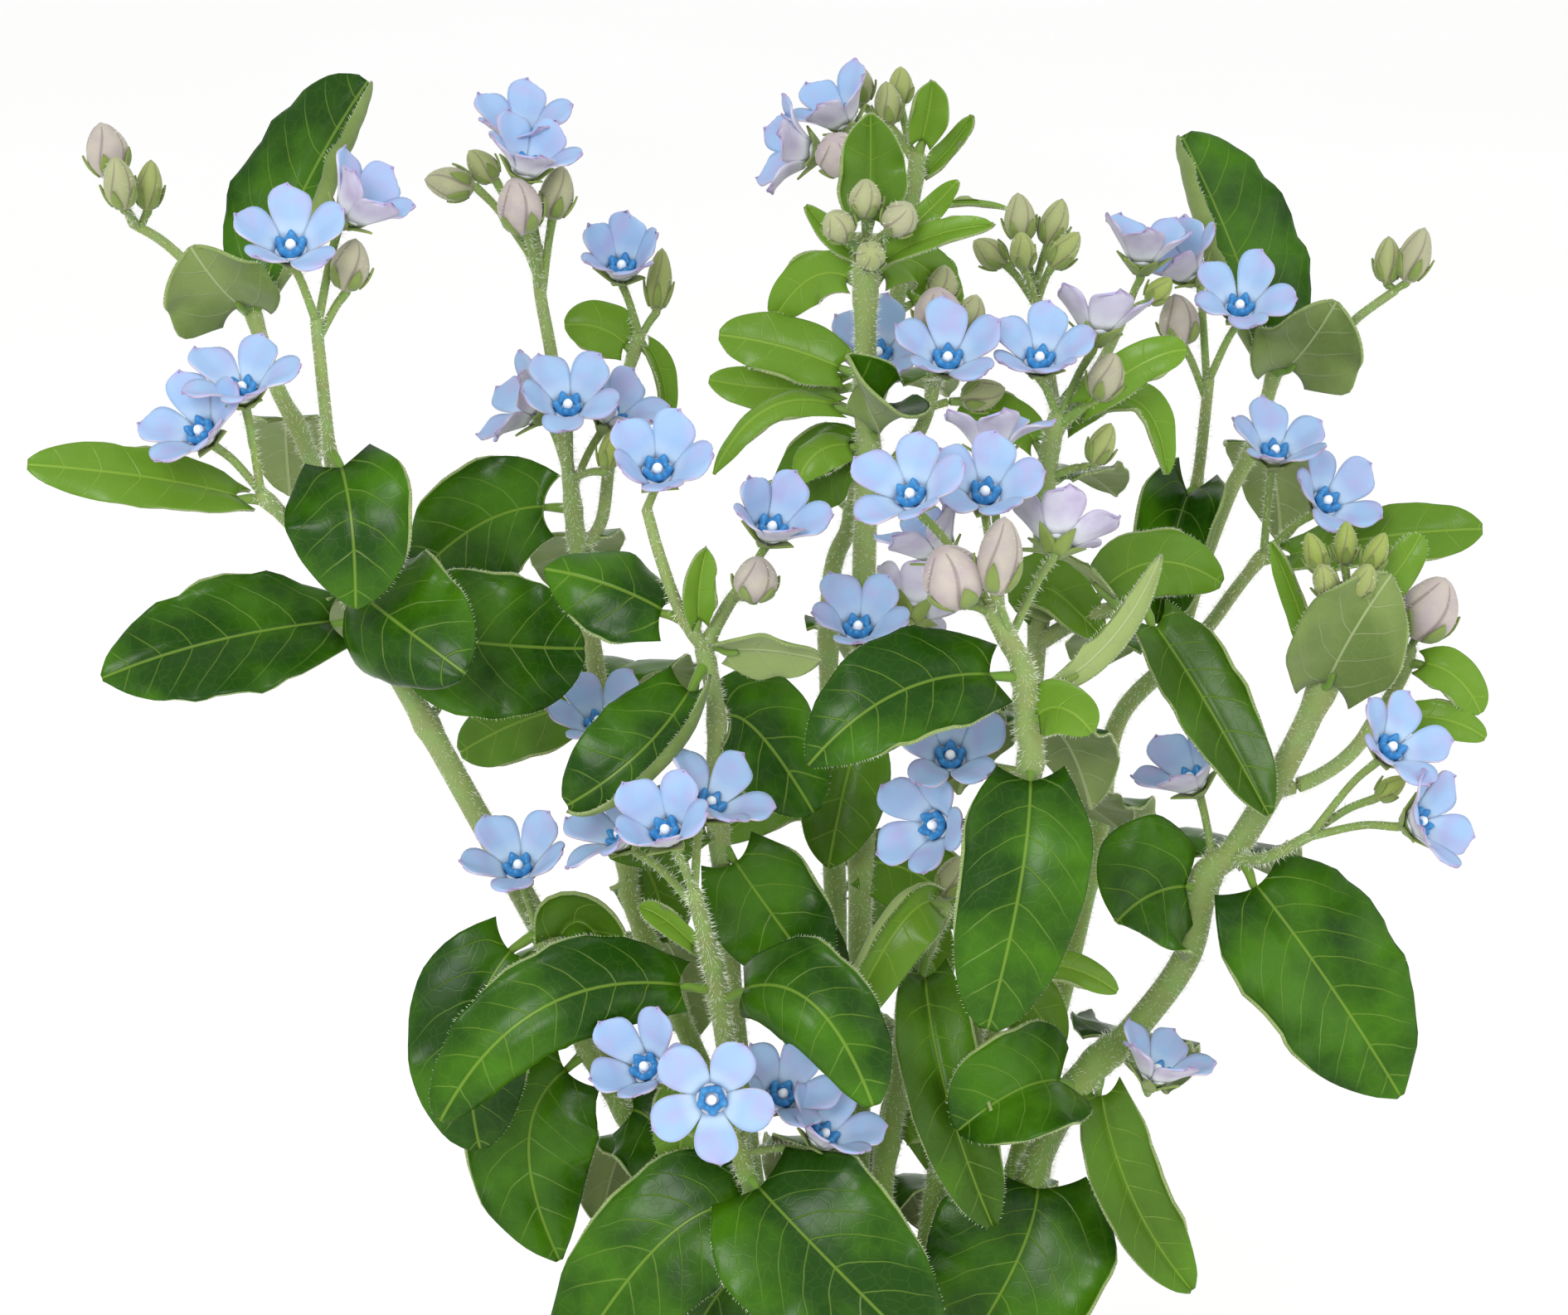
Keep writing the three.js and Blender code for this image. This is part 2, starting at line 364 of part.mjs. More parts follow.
    "stalks": [
      [2.9, 2.4, [[33, 50, -25], [44, 75, -34], [55, 86, -29], [66, 101, -28], [70, 117, -26], [76, 123, -25],
        [85, 138, -22], [92, 152, -20], [100, 170, -20]]],
      [1.5, 1.3, [[83, 134, -22], [92, 137, -20], [100, 143, -17], [108, 155, -14], [111, 163, -14]]],
      [1.2, 1.0, [[74, 121, -25], [82, 121, -33], [91, 125.5, -39]]],
    ],
    "leaves": [
      [[77, 119], [93, 98, -8], [109, 73, -10], 35, [0.2, 0.5, 0.8], [0.2, 0.2, 0.9], "heart"],
      [[69, 115], [60, 114, -8], [52, 108, -14], 31, [-0.1, 0.2, 1], [-0.3, 0.2, 0.9], "heart"],
      [[93, 153], [98, 164, -6], [107, 178, -4], 25, [0.1, 0.4, -0.9], [0.1, 0.2, -1], "saddle"],
      [[93, 155], [89, 170, 3], [83, 184.5, 4], 6, [-0.5, 0.3, 0.8], [-0.5, 0.2, 0.8], "trough"],
      [[100, 169], [108, 178, 6], [113, 186, 8], 8, [0, 0.3, 0.9], [0, 0.2, 1], "flat"],
      [[110, 160], [119, 158, -4], [125, 150, -4], 10, [0, 0.6, 0.8], [0.2, 0.4, 0.9], "flat"],
      [[104, 148], [116, 149, -4], [126, 145, -4], 8, [0, 0.6, 0.8], [0.2, 0.4, 0.9], "flat"],
      [[44, 75], [34, 75, -14], [20, 66, -19], 27, [0, 0.6, 0.8], [-0.1, 0.5, 0.85], "trough"],
      [[48, 80], [54, 55, -4], [67, 34, -4], 17, [0.2, 0.4, 0.9], [0.3, 0.2, 0.9], "trough"],
      [[36, 58], [32, 40, -9], [16, 14, -12], 38, [0.1, 0.5, 0.85], [0, 0.3, 0.9], "heart"],
      [[70, 117], [76, 124, 16], [86, 116, 34], 24, [0.1, 1, 0], [0.3, 0.8, -0.5], "heart"],
      [[51, 82], [56, 85, 18], [62, 74, 38], 26, [0.1, 1, 0], [0.3, 0.8, -0.5], "heart"],
      [[26, 16], [42, 16, 4], [58, 0, 8], 26, [0, 1, 0.2], [0.4, 0.8, 0.2], "heart"],
    ],
    "blooms": [
      ["bloom_29", [106.8, 142.7, -3.6], [0.5, 0.78, 0.6], 0.62, [91, 125.5]],
      ["bloom_29", [112.4, 128.1, -6.8], [0.85, 0.38, 0.5], 0.62, [91, 125.5]],
      ["bloom_30", [67.1, 136.3, 3.8], [-0.4, 0.8, 0.3], 0.8, [72, 119]],
      ["bloom_31", [59.7, 77.5, -11.7], [0.3, 0.9, 0.1], 0.67, [54, 85]],
    ],
    "buds": [
      [[115, 171, 0], [0.35, 0.9, 0.2], 14, 11, [111, 163]],
      [[107, 135, 2], [0.8, 0.6, 0], 7, 4, [91, 125.5]],
      [[98, 184, 2], [0, 1, 0], 9, 4.5, [99, 169]],
      [[104, 182, 0], [0.4, 1, 0], 9, 4.5, [99, 169]],
      [[92, 182, 0], [-0.4, 1, 0], 9, 4.5, [99, 169]],
      [[94, 176.5, -6], [-0.3, 0.8, 0.5], 9, 5, [99, 169]],
      [[101.5, 176.5, -6], [0.2, 0.8, 0.5], 9, 5, [99, 169]],
    ],
  },
  {
    "name": "stem_low_right", "root": [4, -22],
    "stalks": [
      [2.4, 2.0, [[4, 30, -21], [5, 57, -26], [8, 75, -28], [11, 97, -30], [17, 111, -34]]],
    ],
    "leaves": [
      [[13, 103], [17, 76, -16], [27, 47, -18], 19, [0.2, 0.2, 1], [0.2, 0, 1], "trough"],
      [[17, 111], [9, 108, -9], [-3, 86, -10], 14, [0, 0.4, 0.9], [0, 0.3, 0.9], "rim_right"],
      [[6, 62], [12, 70, 4], [16, 56, 6], 13, [0, 0.5, 0.9], [0.1, 0.3, 0.9], "heart"],
      [[4, 14], [7, 14, -16], [10, -2, -30], 23, [0, 1, 0.3], [0.2, 0.7, 0.7], "heart"],
    ],
    "blooms": [],
    "buds": [
      [[19, 117, 3], [0.3, 0.9, 0], 9, 6, [17, 111]],
    ],
  },
  {
    "name": "stem_low_left", "root": [-17, -20],
    "stalks": [
      [2.2, 1.4, [[-22, 50, -34], [-28, 92, -57], [-30, 102, -62], [-33, 114, -68]]],
    ],
    "leaves": [
      [[-28.5, 94], [-61, 92, -12], [-84, 68, -14], 23, [0, 0.7, 0.7], [-0.2, 0.5, 0.8], "curl_left"],
      [[-28, 92], [-11, 93, -16], [3, 71, -19], 24, [0, 0.7, 0.7], [0.2, 0.4, 0.9], "curl_right"],
      [[-30, 100], [-38, 108, 6], [-44, 111, 8], 6, [0, 0.4, 0.9], [0, 0.3, 0.9], "trough"],
    ],
    "blooms": [
      ["bloom_32", [-30, 131.4, 2.6], [0.4, 0.8, 0.3], 0.62, [-33, 114]],
      ["bloom_33", [-38.5, 126, -9], [-0.3, 0.88, 0.7], 0.85, [-33, 114]],
      ["bloom_34", [-47.4, 125, 12.7], [-0.7, 0.88, 0.3], 0.62, [-33, 114]],
    ],
    "buds": [],
  },
  {
    "name": "stem_low_front", "root": [-6, -30],
    "stalks": [
      [2.0, 1.4, [[-14, 30, -49], [-22, 56, -62], [-26, 67, -65]]],
    ],
    "leaves": [
      [[-22, 57], [-8, 42, -10], [18, 16, -14], 38, [0.1, 0.5, 0.9], [0.1, 0.3, 0.9], "heart"],
      [[-20, 50], [-38, 45, -4], [-60, 15, -6], 29, [-0.1, 0.5, 0.9], [-0.2, 0.3, 0.9], "flat"],
      [[-16, 38], [-24, 38, 6], [-36, 20, 8], 22, [-0.1, 0.5, 0.9], [-0.1, 0.3, 0.9], "heart"],
      [[-24, 62], [-33, 72, 8], [-36, 56, 8], 15, [-0.2, 0.4, 0.9], [-0.1, 0.2, 1], "flat"],
      [[-9, 12], [-18, 13, -14], [-26, 0, -28], 26, [0, 1, 0.3], [-0.2, 0.7, 0.7], "heart"],
    ],
    "blooms": [
      ["bloom_35", [-42.6, 78.6, -7.5], [-0.4, 0.73, 0.8], 0.67, [-26, 67]],
      ["bloom_36", [-29.4, 72.5, -17], [0, 0.18, 1], 0.31, [-26, 67]],
      ["bloom_37", [-15.4, 73, 7.5], [0.3, 0.68, 0.5], 0.67, [-26, 67]],
      ["bloom_37", [-7.2, 64.8, 5.7], [0.5, 0.88, 0.3], 0.67, [-26, 67]],
    ],
    "buds": [],
  },
  {
    "name": "stem_low_far_left", "root": [-27, -12],
    "stalks": [
      [2.1, 1.4, [[-38, 50, -23], [-56, 85, -35], [-64.5, 106, -41]]],
    ],
    "leaves": [
      [[-66, 106], [-77, 88, -6], [-76, 62.5, -8], 27, [-0.1, 0.3, 1], [0, 0.1, 1], "flat"],
      [[-62, 100], [-56, 108, -4], [-49, 98, -4], 18, [0, 0.5, 0.8], [0.2, 0.3, 0.9], "cup"],
      [[-54, 81], [-66, 66, -4], [-60, 40, -6], 28, [-0.1, 0.4, 0.9], [0, 0.2, 1], "heart"],
      [[-62, 100], [-74, 98, 8], [-82, 84, 16], 20, [-0.1, 1, 0], [-0.3, 0.8, -0.5], "heart"],
      [[-48, 70], [-40, 66, -4], [-34, 48, -4], 22, [0.1, 0.4, 0.9], [0.1, 0.2, 0.9], "heart"],
      [[-30, 20], [-48, 24, 2], [-66, 10, 6], 26, [0, 1, 0.2], [-0.4, 0.8, 0.2], "heart"],
    ],
    "blooms": [
      ["bloom_38", [-68.2, 118.8, -2.7], [-0.1, 0.85, 0.5], 0.62, [-64.5, 106]],
    ],
    "buds": [],
  },
];

// Viewing frame
const right = new THREE.Vector3(1, 0, 0);
const sight = new THREE.Vector3(0, Math.cos(VIEW_ELEVATION), -Math.sin(VIEW_ELEVATION));
const rise = new THREE.Vector3(0, Math.sin(VIEW_ELEVATION), Math.cos(VIEW_ELEVATION));
const eye = CROWN.clone()
  .addScaledVector(right, VIEW_AIM[0])
  .addScaledVector(rise, VIEW_AIM[1])
  .addScaledVector(sight, -VIEW_DISTANCE);

// The point seen at [u, v] in the layout plane that lies `back` behind the pot's axis
function place([u, v, back]) {
  const ray = sight.clone().multiplyScalar(VIEW_DISTANCE)
    .addScaledVector(right, u - VIEW_AIM[0])
    .addScaledVector(rise, v - VIEW_AIM[1]);
  return eye.clone().addScaledVector(ray, (back - eye.y) / ray.y);
}

// The layout's [u, v, back] of a point, the inverse of place
function seenAt(point) {
  const offset = point.clone().sub(eye);
  const reach = offset.dot(sight) / VIEW_DISTANCE;
  return [VIEW_AIM[0] + offset.dot(right) / reach, VIEW_AIM[1] + offset.dot(rise) / reach, point.y];
}

// How much a length at this point is drawn smaller or larger than in the layout plane
function shrink(point) {
  return point.clone().sub(eye).dot(sight) / VIEW_DISTANCE;
}

// A facing given as [right, up, towards the viewer]
function facing([toRight, up, near]) {
  return new THREE.Vector3(toRight, -near, up).normalize();
}

// Closed solid from points and triangles
function solid(points, triangles) {
  const vertProperties = new Float32Array(points.flatMap((p) => [p.x, p.y, p.z]));
  return new wasm.Manifold(new wasm.Mesh({ numProp: 3, vertProperties, triVerts: new Uint32Array(triangles.flat()) }));
}

// Closed solid from one of three's closed geometries
function solidOf(geometry) {
  const bare = geometry.clone();
  bare.deleteAttribute('normal');
  bare.deleteAttribute('uv');
  const merged = mergeVertices(bare, 1e-3);
  const vertProperties = new Float32Array(merged.attributes.position.array);
  return new wasm.Manifold(new wasm.Mesh({ numProp: 3, vertProperties, triVerts: new Uint32Array(merged.index.array) }));
}

function geometryOf(body) {
  const { vertProperties, triVerts, numProp } = body.getMesh();
  const geometry = new THREE.BufferGeometry();
  const positions = new Float32Array((vertProperties.length / numProp) * 3);
  for (let i = 0; i < positions.length; i++) {
    positions[i] = vertProperties[Math.floor(i / 3) * numProp + (i % 3)];
  }
  geometry.setAttribute('position', new THREE.BufferAttribute(positions, 3));
  geometry.setIndex([...triVerts]);
  return geometry;
}

// One body of all that are given. A sliver that the joining leaves loose is dropped.
function fuse(bodies) {
  const joined = bodies.reduce((all, body) => all.add(body));
  return joined.decompose().reduce((largest, body) => (body.volume() > largest.volume() ? body : largest));
}

// Uniform Catmull-Rom curve, sampled `steps` times between each two points
function smoothPath(points, steps) {
  const curve = new THREE.CatmullRomCurve3(points, false, 'catmullrom', 0.5);
  const samples = [];
  const count = (points.length - 1) * steps;
  for (let i = 0; i <= count; i++) samples.push(curve.getPoint(i / count));
  return samples;
}

// Closed body through a row of rings, which may have different numbers of points, or one point for a tip
function loft(rings) {
  const points = rings.flat();
  const triangles = [];
  let first = 0;
  for (let r = 0; r + 1 < rings.length; r++) {
    const [m, n] = [rings[r].length, rings[r + 1].length];
    const [low, high] = [first, first + m];
    const [lowSteps, highSteps] = [m > 1 ? m : 0, n > 1 ? n : 0];
    let [a, b] = [0, 0];
    while (a < lowSteps || b < highSteps) {
      if (b === highSteps || (a < lowSteps && (a + 1) * n <= (b + 1) * m)) {
        triangles.push([low + (a % m), low + ((a + 1) % m), high + (b % n)]);
        a++;
      } else {
        triangles.push([low + (a % m), high + ((b + 1) % n), high + (b % n)]);
        b++;
      }
    }
    first = high;
  }
  const last = rings[rings.length - 1].length;
  for (let k = 1; k + 1 < rings[0].length; k++) triangles.push([0, k + 1, k]);
  for (let k = 1; k + 1 < last; k++) triangles.push([first, first + k, first + k + 1]);
  return solid(points, triangles);
}

// Ring of points square to `along`, the first of them on the side of `across`
function ring(centre, along, across, radius, sides) {
  const first = across.clone().addScaledVector(along, -across.dot(along)).normalize();
  const axes = [first, along.clone().cross(first)];
  return Array.from({ length: sides }, (_, k) => around(centre, along, axes, radius, (2 * Math.PI * k) / sides, 0));
}

// Rings of a stalk through the points, its radius changing evenly from foot to top, the last ring moved on a bit
function stalkRings(path, footRadius, topRadius, sides, overrun) {
  const end = path.length - 1;
  return path.map((point, i) => {
    const along = path[Math.min(i + 1, end)].clone().sub(path[Math.max(i - 1, 0)]).normalize();
    const centre = i === end ? point.clone().addScaledVector(along, overrun) : point;
    return ring(centre, along, right, THREE.MathUtils.lerp(footRadius, topRadius, i / end), sides);
  });
}

// Thin closed sheet that grows from one point over rows of { point, normal, thickness } of its middle surface.
// The rows may differ in length.
function sheet(apex, rows) {
  const points = [];
  for (const { point, normal, thickness } of rows.flat()) {
    points.push(point.clone().addScaledVector(normal, thickness / 2));
    points.push(point.clone().addScaledVector(normal, -thickness / 2));
  }
  const triangles = [];
  const bothFaces = (a, b, c) => triangles.push([2 * a, 2 * b, 2 * c], [2 * a + 1, 2 * c + 1, 2 * b + 1]);
  const wall = (a, b) => triangles.push([2 * a, 2 * a + 1, 2 * b + 1], [2 * a, 2 * b + 1, 2 * b]);
  let low = 0;
  for (let r = 0; r + 1 < rows.length; r++) {
    const [m, n] = [rows[r].length - 1, rows[r + 1].length - 1];
    const high = low + m + 1;
    let [a, b] = [0, 0];
    while (a < m || b < n) {
      if (b === n || (a < m && (a + 1) * n <= (b + 1) * m)) {
        bothFaces(low + a, low + a + 1, high + b);
        a++;
      } else {
        bothFaces(low + a, high + b + 1, high + b);
        b++;
      }
    }
    wall(high, low);
    wall(low + m, high + n);
    low = high;
  }
  const end = rows[rows.length - 1].length - 1;
  for (let j = 0; j < end; j++) wall(low + j + 1, low + j);
  const root = points.length;
  const side = rows[0].length - 1;
  points.push(apex);
  triangles.push([root, 0, 1], [root, 2 * side + 1, 2 * side]);
  for (let j = 0; j < side; j++) {
    triangles.push([root, 2 * j + 2, 2 * j], [root, 2 * j + 1, 2 * j + 3]);
  }
  return solid(points, triangles);
}

// Half width along a blade, as a share of its widest half
function bladeShare(s, bluntness) {
  if (s < BLADE_WIDEST_AT) {
    return BLADE_BASE_SHARE + (1 - BLADE_BASE_SHARE) * Math.sin((Math.PI / 2) * (s / BLADE_WIDEST_AT));
  }
  const toTip = (Math.min(s, BLADE_END) - BLADE_WIDEST_AT) / (1 - BLADE_WIDEST_AT);
  return (1 - toTip ** BLADE_ROUNDING) ** bluntness;
}

// How far out and up a point of the blade lies, and how steeply, at a share x of one half's width
function acrossBlade(x, fold, curl) {
  const steps = 4;
  let out = 0;
  let up = 0;
  for (let k = 0; k < steps; k++) {
    const slope = fold + curl * (((k + 0.5) / steps) * x) ** 2;
    out += (Math.cos(slope) * x) / steps;
    up += (Math.sin(slope) * x) / steps;
  }
  return { out, up, slope: fold + curl * x * x };
}

// Point and upward normal of a leaf's middle surface at s along its midrib and x from margin (-1) to margin (1)
function bladeAt(leaf, s, x) {
  const [foldLeft, foldRight, curlLeft, curlRight, wave, bluntness] = STYLES[leaf.style];
  const hand = x < 0 ? -1 : 1;
  const t = leaf.bare + (1 - leaf.bare) * s;
  const rib = leaf.midrib.getPoint(t);
  const along = leaf.midrib.getTangent(t);
  const up = leaf.footFacing.clone().lerp(leaf.tipFacing, s);
  up.addScaledVector(along, -up.dot(along)).normalize();
  const side = along.clone().cross(up).multiplyScalar(hand);
  const half = (leaf.width / 2) * bladeShare(s, bluntness);
  const { out, up: lift, slope } = acrossBlade(Math.abs(x), x < 0 ? foldLeft : foldRight, x < 0 ? curlLeft : curlRight);
  const ripple = wave * x * x * Math.sin(2 * Math.PI * WAVE_COUNT * s + leaf.phase + hand);
  const lobe = leaf.lobe * x * x * Math.max(0, 1 - s / LOBE_END) ** 2;
  const point = rib
    .addScaledVector(side, half * out)
    .addScaledVector(up, half * (lift + ripple))
    .addScaledVector(along, -lobe);
  const normal = up.clone().multiplyScalar(Math.cos(slope)).addScaledVector(side, -Math.sin(slope));
  return { point, normal, thickness: BLADE_THICKNESS };
}

// The leaf named by one line of the plan, growing from the nearest point of its stem
function readLeaf([foot, middle, tip, width, footFacing, tipFacing, style], stalkPoints, phase) {
  const anchor = nearest(stalkPoints, foot);
  const base = place([foot[0], foot[1], anchor[2]]);
  const end = place([tip[0], tip[1], anchor[2] + tip[2]]);
  const half = place([middle[0], middle[1], anchor[2] + middle[2]]);
  const bend = half.clone().multiplyScalar(2).sub(base.clone().add(end).multiplyScalar(0.5));
  const midrib = new THREE.QuadraticBezierCurve3(base, bend, end);
  const length = midrib.getLength();
  const root = place(anchor);
  const bare = Math.max(0, Math.min(PETIOLE_LENGTH, PETIOLE_SHARE * length) - root.distanceTo(base));
  return {
    root,
    midrib,
    length,
    bare: bare / length,
    lobe: Math.min(LOBE_REACH * length, LOBE_LIMIT),
    width: width * shrink(half),
    footFacing: facing(footFacing),
    tipFacing: facing(tipFacing),
    style,
    phase,
  };
}

// A leaf as one thin sheet: a narrow stalk whose foot is sunk in the stem, then the rows of the blade
function leafBody(leaf) {
  const columns = leaf.style.startsWith('rim') ? 4 : 2;
  const size = leaf.width < NARROW_BLADE ? 'narrow' : leaf.length > LONG_BLADE ? 'long' : 'short';
  const stations = BLADE_ROWS[size];
  const rows = stations.map((s) => {
    const across = s === 1 ? [-1, 1] : Array.from({ length: columns + 1 }, (_, j) => (2 * j) / columns - 1);
    return across.map((x) => bladeAt(leaf, s, x));
  });
  const base = leaf.midrib.getPoint(leaf.bare * 0.8);
  const along = base.clone().sub(leaf.root).normalize();
  const normal = leaf.footFacing.clone();
  normal.addScaledVector(along, -normal.dot(along)).normalize();
  const side = along.clone().cross(normal);
  const neck = [-1, 1].map((x) => ({
    point: base.clone().addScaledVector(side, x * PETIOLE_HALF_WIDTH),
    normal,
    thickness: PETIOLE_THICKNESS,
  }));
  return sheet(leaf.root.clone().addScaledVector(along, -PETIOLE_SUNK), [neck, ...rows]);
}

// Layout point of the stem that is seen nearest to [u, v]
function nearest(stalkPoints, [u, v]) {
  let best = stalkPoints[0];
  for (const point of stalkPoints) {
    if (Math.hypot(point[0] - u, point[1] - v) < Math.hypot(best[0] - u, best[1] - v)) best = point;
  }
  return best;
}

// Two directions square to an axis and to each other
function crossAxes(axis) {
  const start = Math.abs(axis.z) < 0.9 ? new THREE.Vector3(0, 0, 1) : new THREE.Vector3(0, 1, 0);
  const first = start.addScaledVector(axis, -start.dot(axis)).normalize();
  return [first, axis.clone().cross(first)];
}

// A point `out` from the axis at the angle `turn`, raised along the axis
function around(centre, axis, [first, second], out, turn, raised) {
  return centre.clone()
    .addScaledVector(first, out * Math.cos(turn))
    .addScaledVector(second, out * Math.sin(turn))
    .addScaledVector(axis, raised);
}

// One flower's corolla: five wedge-shaped petals that rise by the cup angle, round a raised five-cornered crown
function corolla(centre, axis, cup, spin) {
  const axes = crossAxes(axis);
  const top = [];
  const under = [];
  const petalPoint = (turn, reach, offset) => {
    const length = reach - THROAT_RADIUS;
    const out = THROAT_RADIUS + length * Math.cos(cup);
    const lean = Math.atan2(offset, out);
    const outline = around(centre, axis, axes, Math.hypot(out, offset), turn + lean, length * Math.sin(cup));
    const away = around(new THREE.Vector3(), axis, axes, -Math.sin(cup), turn, Math.cos(cup));
    top.push(outline);
    under.push(outline.clone().addScaledVector(away, -PETAL_THICKNESS));
  };
  for (let k = 0; k < 5; k++) {
    const turn = spin + (2 * Math.PI * k) / 5;
    const notch = around(centre, axis, axes, THROAT_RADIUS, turn - Math.PI / 5, 0);
    top.push(notch);
    under.push(notch.clone().addScaledVector(axis, -PETAL_THICKNESS));
    petalPoint(turn, PETAL_WIDEST_AT, -PETAL_HALF_WIDTH);
    petalPoint(turn, BLOOM_RADIUS, 0);
    petalPoint(turn, PETAL_WIDEST_AT, PETAL_HALF_WIDTH);
  }
  const points = [...top, ...under];
  const down = top.length;
  const triangles = [];
  for (let k = 0; k < 5; k++) {
    const notch = 4 * k;
    const next = (notch + 4) % 20;
    const [left, tip, rightSide] = [notch + 1, notch + 2, notch + 3];
    const faces = [[notch, left, rightSide], [left, tip, rightSide], [notch, rightSide, next]];
    for (const [a, b, c] of faces) triangles.push([a, b, c], [a + down, c + down, b + down]);
    for (const [a, b] of [[notch, left], [left, tip], [tip, rightSide], [rightSide, next]]) {
      triangles.push([a, a + down, b + down], [a, b + down, b]);
    }
  }
  const rim = points.length;
  for (let k = 0; k < 5; k++) {
    points.push(around(centre, axis, axes, CROWN_RADIUS, spin + (2 * Math.PI * (k - 0.5)) / 5, CROWN_HEIGHT));
  }
  const pit = points.length;
  points.push(around(centre, axis, axes, 0, 0, CROWN_PIT));
  for (let k = 0; k < 5; k++) {
    const [a, b] = [4 * k, (4 * k + 4) % 20];
    const [c, d] = [rim + k, rim + ((k + 1) % 5)];
    triangles.push([a, b, d], [a, d, c], [c, d, pit]);
  }
  triangles.push([down, down + 8, down + 4], [down, down + 12, down + 8], [down, down + 16, down + 12]);
  return solid(points, triangles);
}

// Flower stalk that leaves the stem and opens into a cup of five sepals
function stalkedCalyx(foot, centre, axis, spin) {
  const [first] = crossAxes(axis);
  const base = around(centre, axis, crossAxes(axis), 0, 0, -CALYX_LENGTH);
  const rings = stalkRings([foot, base], PEDICEL_RADIUS, PEDICEL_RADIUS, 3, 0);
  const tips = around(centre, axis, crossAxes(axis), 0, 0, -CALYX_DROP - SEPAL_DROP);
  const turned = first.clone().applyAxisAngle(axis, spin - Math.PI / 5);
  rings.push(ring(tips, axis, turned, SEPAL_RADIUS, 5));
  rings.push([around(centre, axis, crossAxes(axis), 0, 0, -CALYX_DROP)]);
  return loft(rings);
}

// Closed bud on its stalk: a five-sided egg, fullest just below its middle
function stalkedBud(foot, centre, axis, length, width) {
  const base = centre.clone().addScaledVector(axis, -0.5 * length);
  const rings = stalkRings([foot, base], PEDICEL_RADIUS, PEDICEL_RADIUS, 3, 0);
  for (const [height, share] of BUD_RINGS) {
    rings.push(ring(centre.clone().addScaledVector(axis, height * length), axis, right, share * width, 5));
  }
  rings.push([centre.clone().addScaledVector(axis, 0.5 * length)]);
  return loft(rings);
}

// Where a flower or bud sits, and the stem point that it grows from. Those that share a foot leave the stalk
// one below the other.
function readTop([u, v, back], foot, stalkPoints, sharing) {
  const key = foot.join();
  const lower = sharing.get(key) ?? 0;
  sharing.set(key, lower + 1);
  const anchor = nearest(stalkPoints, foot);
  const start = nearest(stalkPoints, [foot[0], foot[1] - lower * PEDICEL_STEP]);
  return { foot: place(start), centre: place([u, v, anchor[2] + back]) };
}

// One stem of the plan: its stalks in the layout frame, the green body, and its corollas by node
function growStem(stem, stemIndex) {
  const rootTop = new THREE.Vector3(stem.root[0], stem.root[1], SOIL_LEVEL + 3);
  const rootFoot = rootTop.clone().setZ(SOIL_LEVEL - STEM_DEPTH);
  const stalkPoints = [];
  const green = [];
  stem.stalks.forEach(([footRadius, topRadius, marks], k) => {
    const path = marks.map((mark) => place(mark));
    if (k === 0) path.unshift(rootTop);
    smoothPath(path, 10).forEach((point) => stalkPoints.push(seenAt(point)));
    if (k === 0) path.unshift(rootFoot);
    const sides = k === 0 ? STEM_SIDES : BRANCH_SIDES;
    green.push(loft(stalkRings(path, footRadius, topRadius, sides, STALK_OVERRUN)));
  });
  stem.leaves.forEach((line, k) => {
    green.push(leafBody(readLeaf(line, stalkPoints, stemIndex + 2.4 * k)));
  });
  const corollas = {};
  const sharing = new Map();
  stem.blooms.forEach(([node, middle, direction, cup, foot], k) => {
    const axis = facing(direction);
    const { foot: start, centre } = readTop(middle, foot, stalkPoints, sharing);
    const spin = stemIndex + k;
    green.push(stalkedCalyx(start, centre, axis, spin));
    (corollas[node] ??= []).push(corolla(centre, axis, cup, spin));
  });
  stem.buds.forEach(([middle, direction, length, width, foot]) => {
    const axis = facing(direction);
    const { foot: start, centre } = readTop(middle, foot, stalkPoints, sharing);
    green.push(stalkedBud(start, centre, axis, length, width));
  });
  return { green: fuse(green), corollas };
}

function potBody() {
  const bandFoot = POT_HEIGHT - POT_BAND_HEIGHT;
  const slope = (POT_RIM_RADIUS - POT_BAND_STEP - POT_BASE_RADIUS) / POT_HEIGHT;
  const wallAt = (height) => POT_BASE_RADIUS + slope * height;
  const profile = [
    [0, 0], [POT_BASE_RADIUS, 0], [wallAt(bandFoot), bandFoot],
    [wallAt(bandFoot) + POT_BAND_STEP, bandFoot + POT_BAND_STEP / 2], [POT_RIM_RADIUS, POT_HEIGHT],
    [potInside(POT_HEIGHT), POT_HEIGHT], [potInside(POT_FLOOR), POT_FLOOR], [0, POT_FLOOR],
  ];
  let pot = solidOf(lathe(profile, POT_SIDES));
  for (let k = 0; k < DRAIN_COUNT; k++) {
    const turn = (2 * Math.PI * (k + 0.5)) / DRAIN_COUNT;
    const drain = new THREE.CylinderGeometry(DRAIN_RADIUS, DRAIN_RADIUS, 3 * POT_FLOOR, DRAIN_SIDES);
    drain.rotateX(Math.PI / 2);
    drain.translate(DRAIN_PITCH_RADIUS * Math.cos(turn), DRAIN_PITCH_RADIUS * Math.sin(turn), 0);
    pot = pot.subtract(solidOf(drain));
  }
  return pot;
}

// Radius of the pot's inner wall at a height
function potInside(height) {
  const top = POT_RIM_RADIUS - POT_WALL;
  const bottom = POT_BASE_RADIUS - POT_WALL;
  return bottom + ((top - bottom) * (height - POT_FLOOR)) / (POT_HEIGHT - POT_FLOOR);
}

function lathe(profile, sides) {
  const points = profile.map(([radius, height]) => new THREE.Vector2(radius, height));
  return new THREE.LatheGeometry(points, sides).rotateX(Math.PI / 2);
}

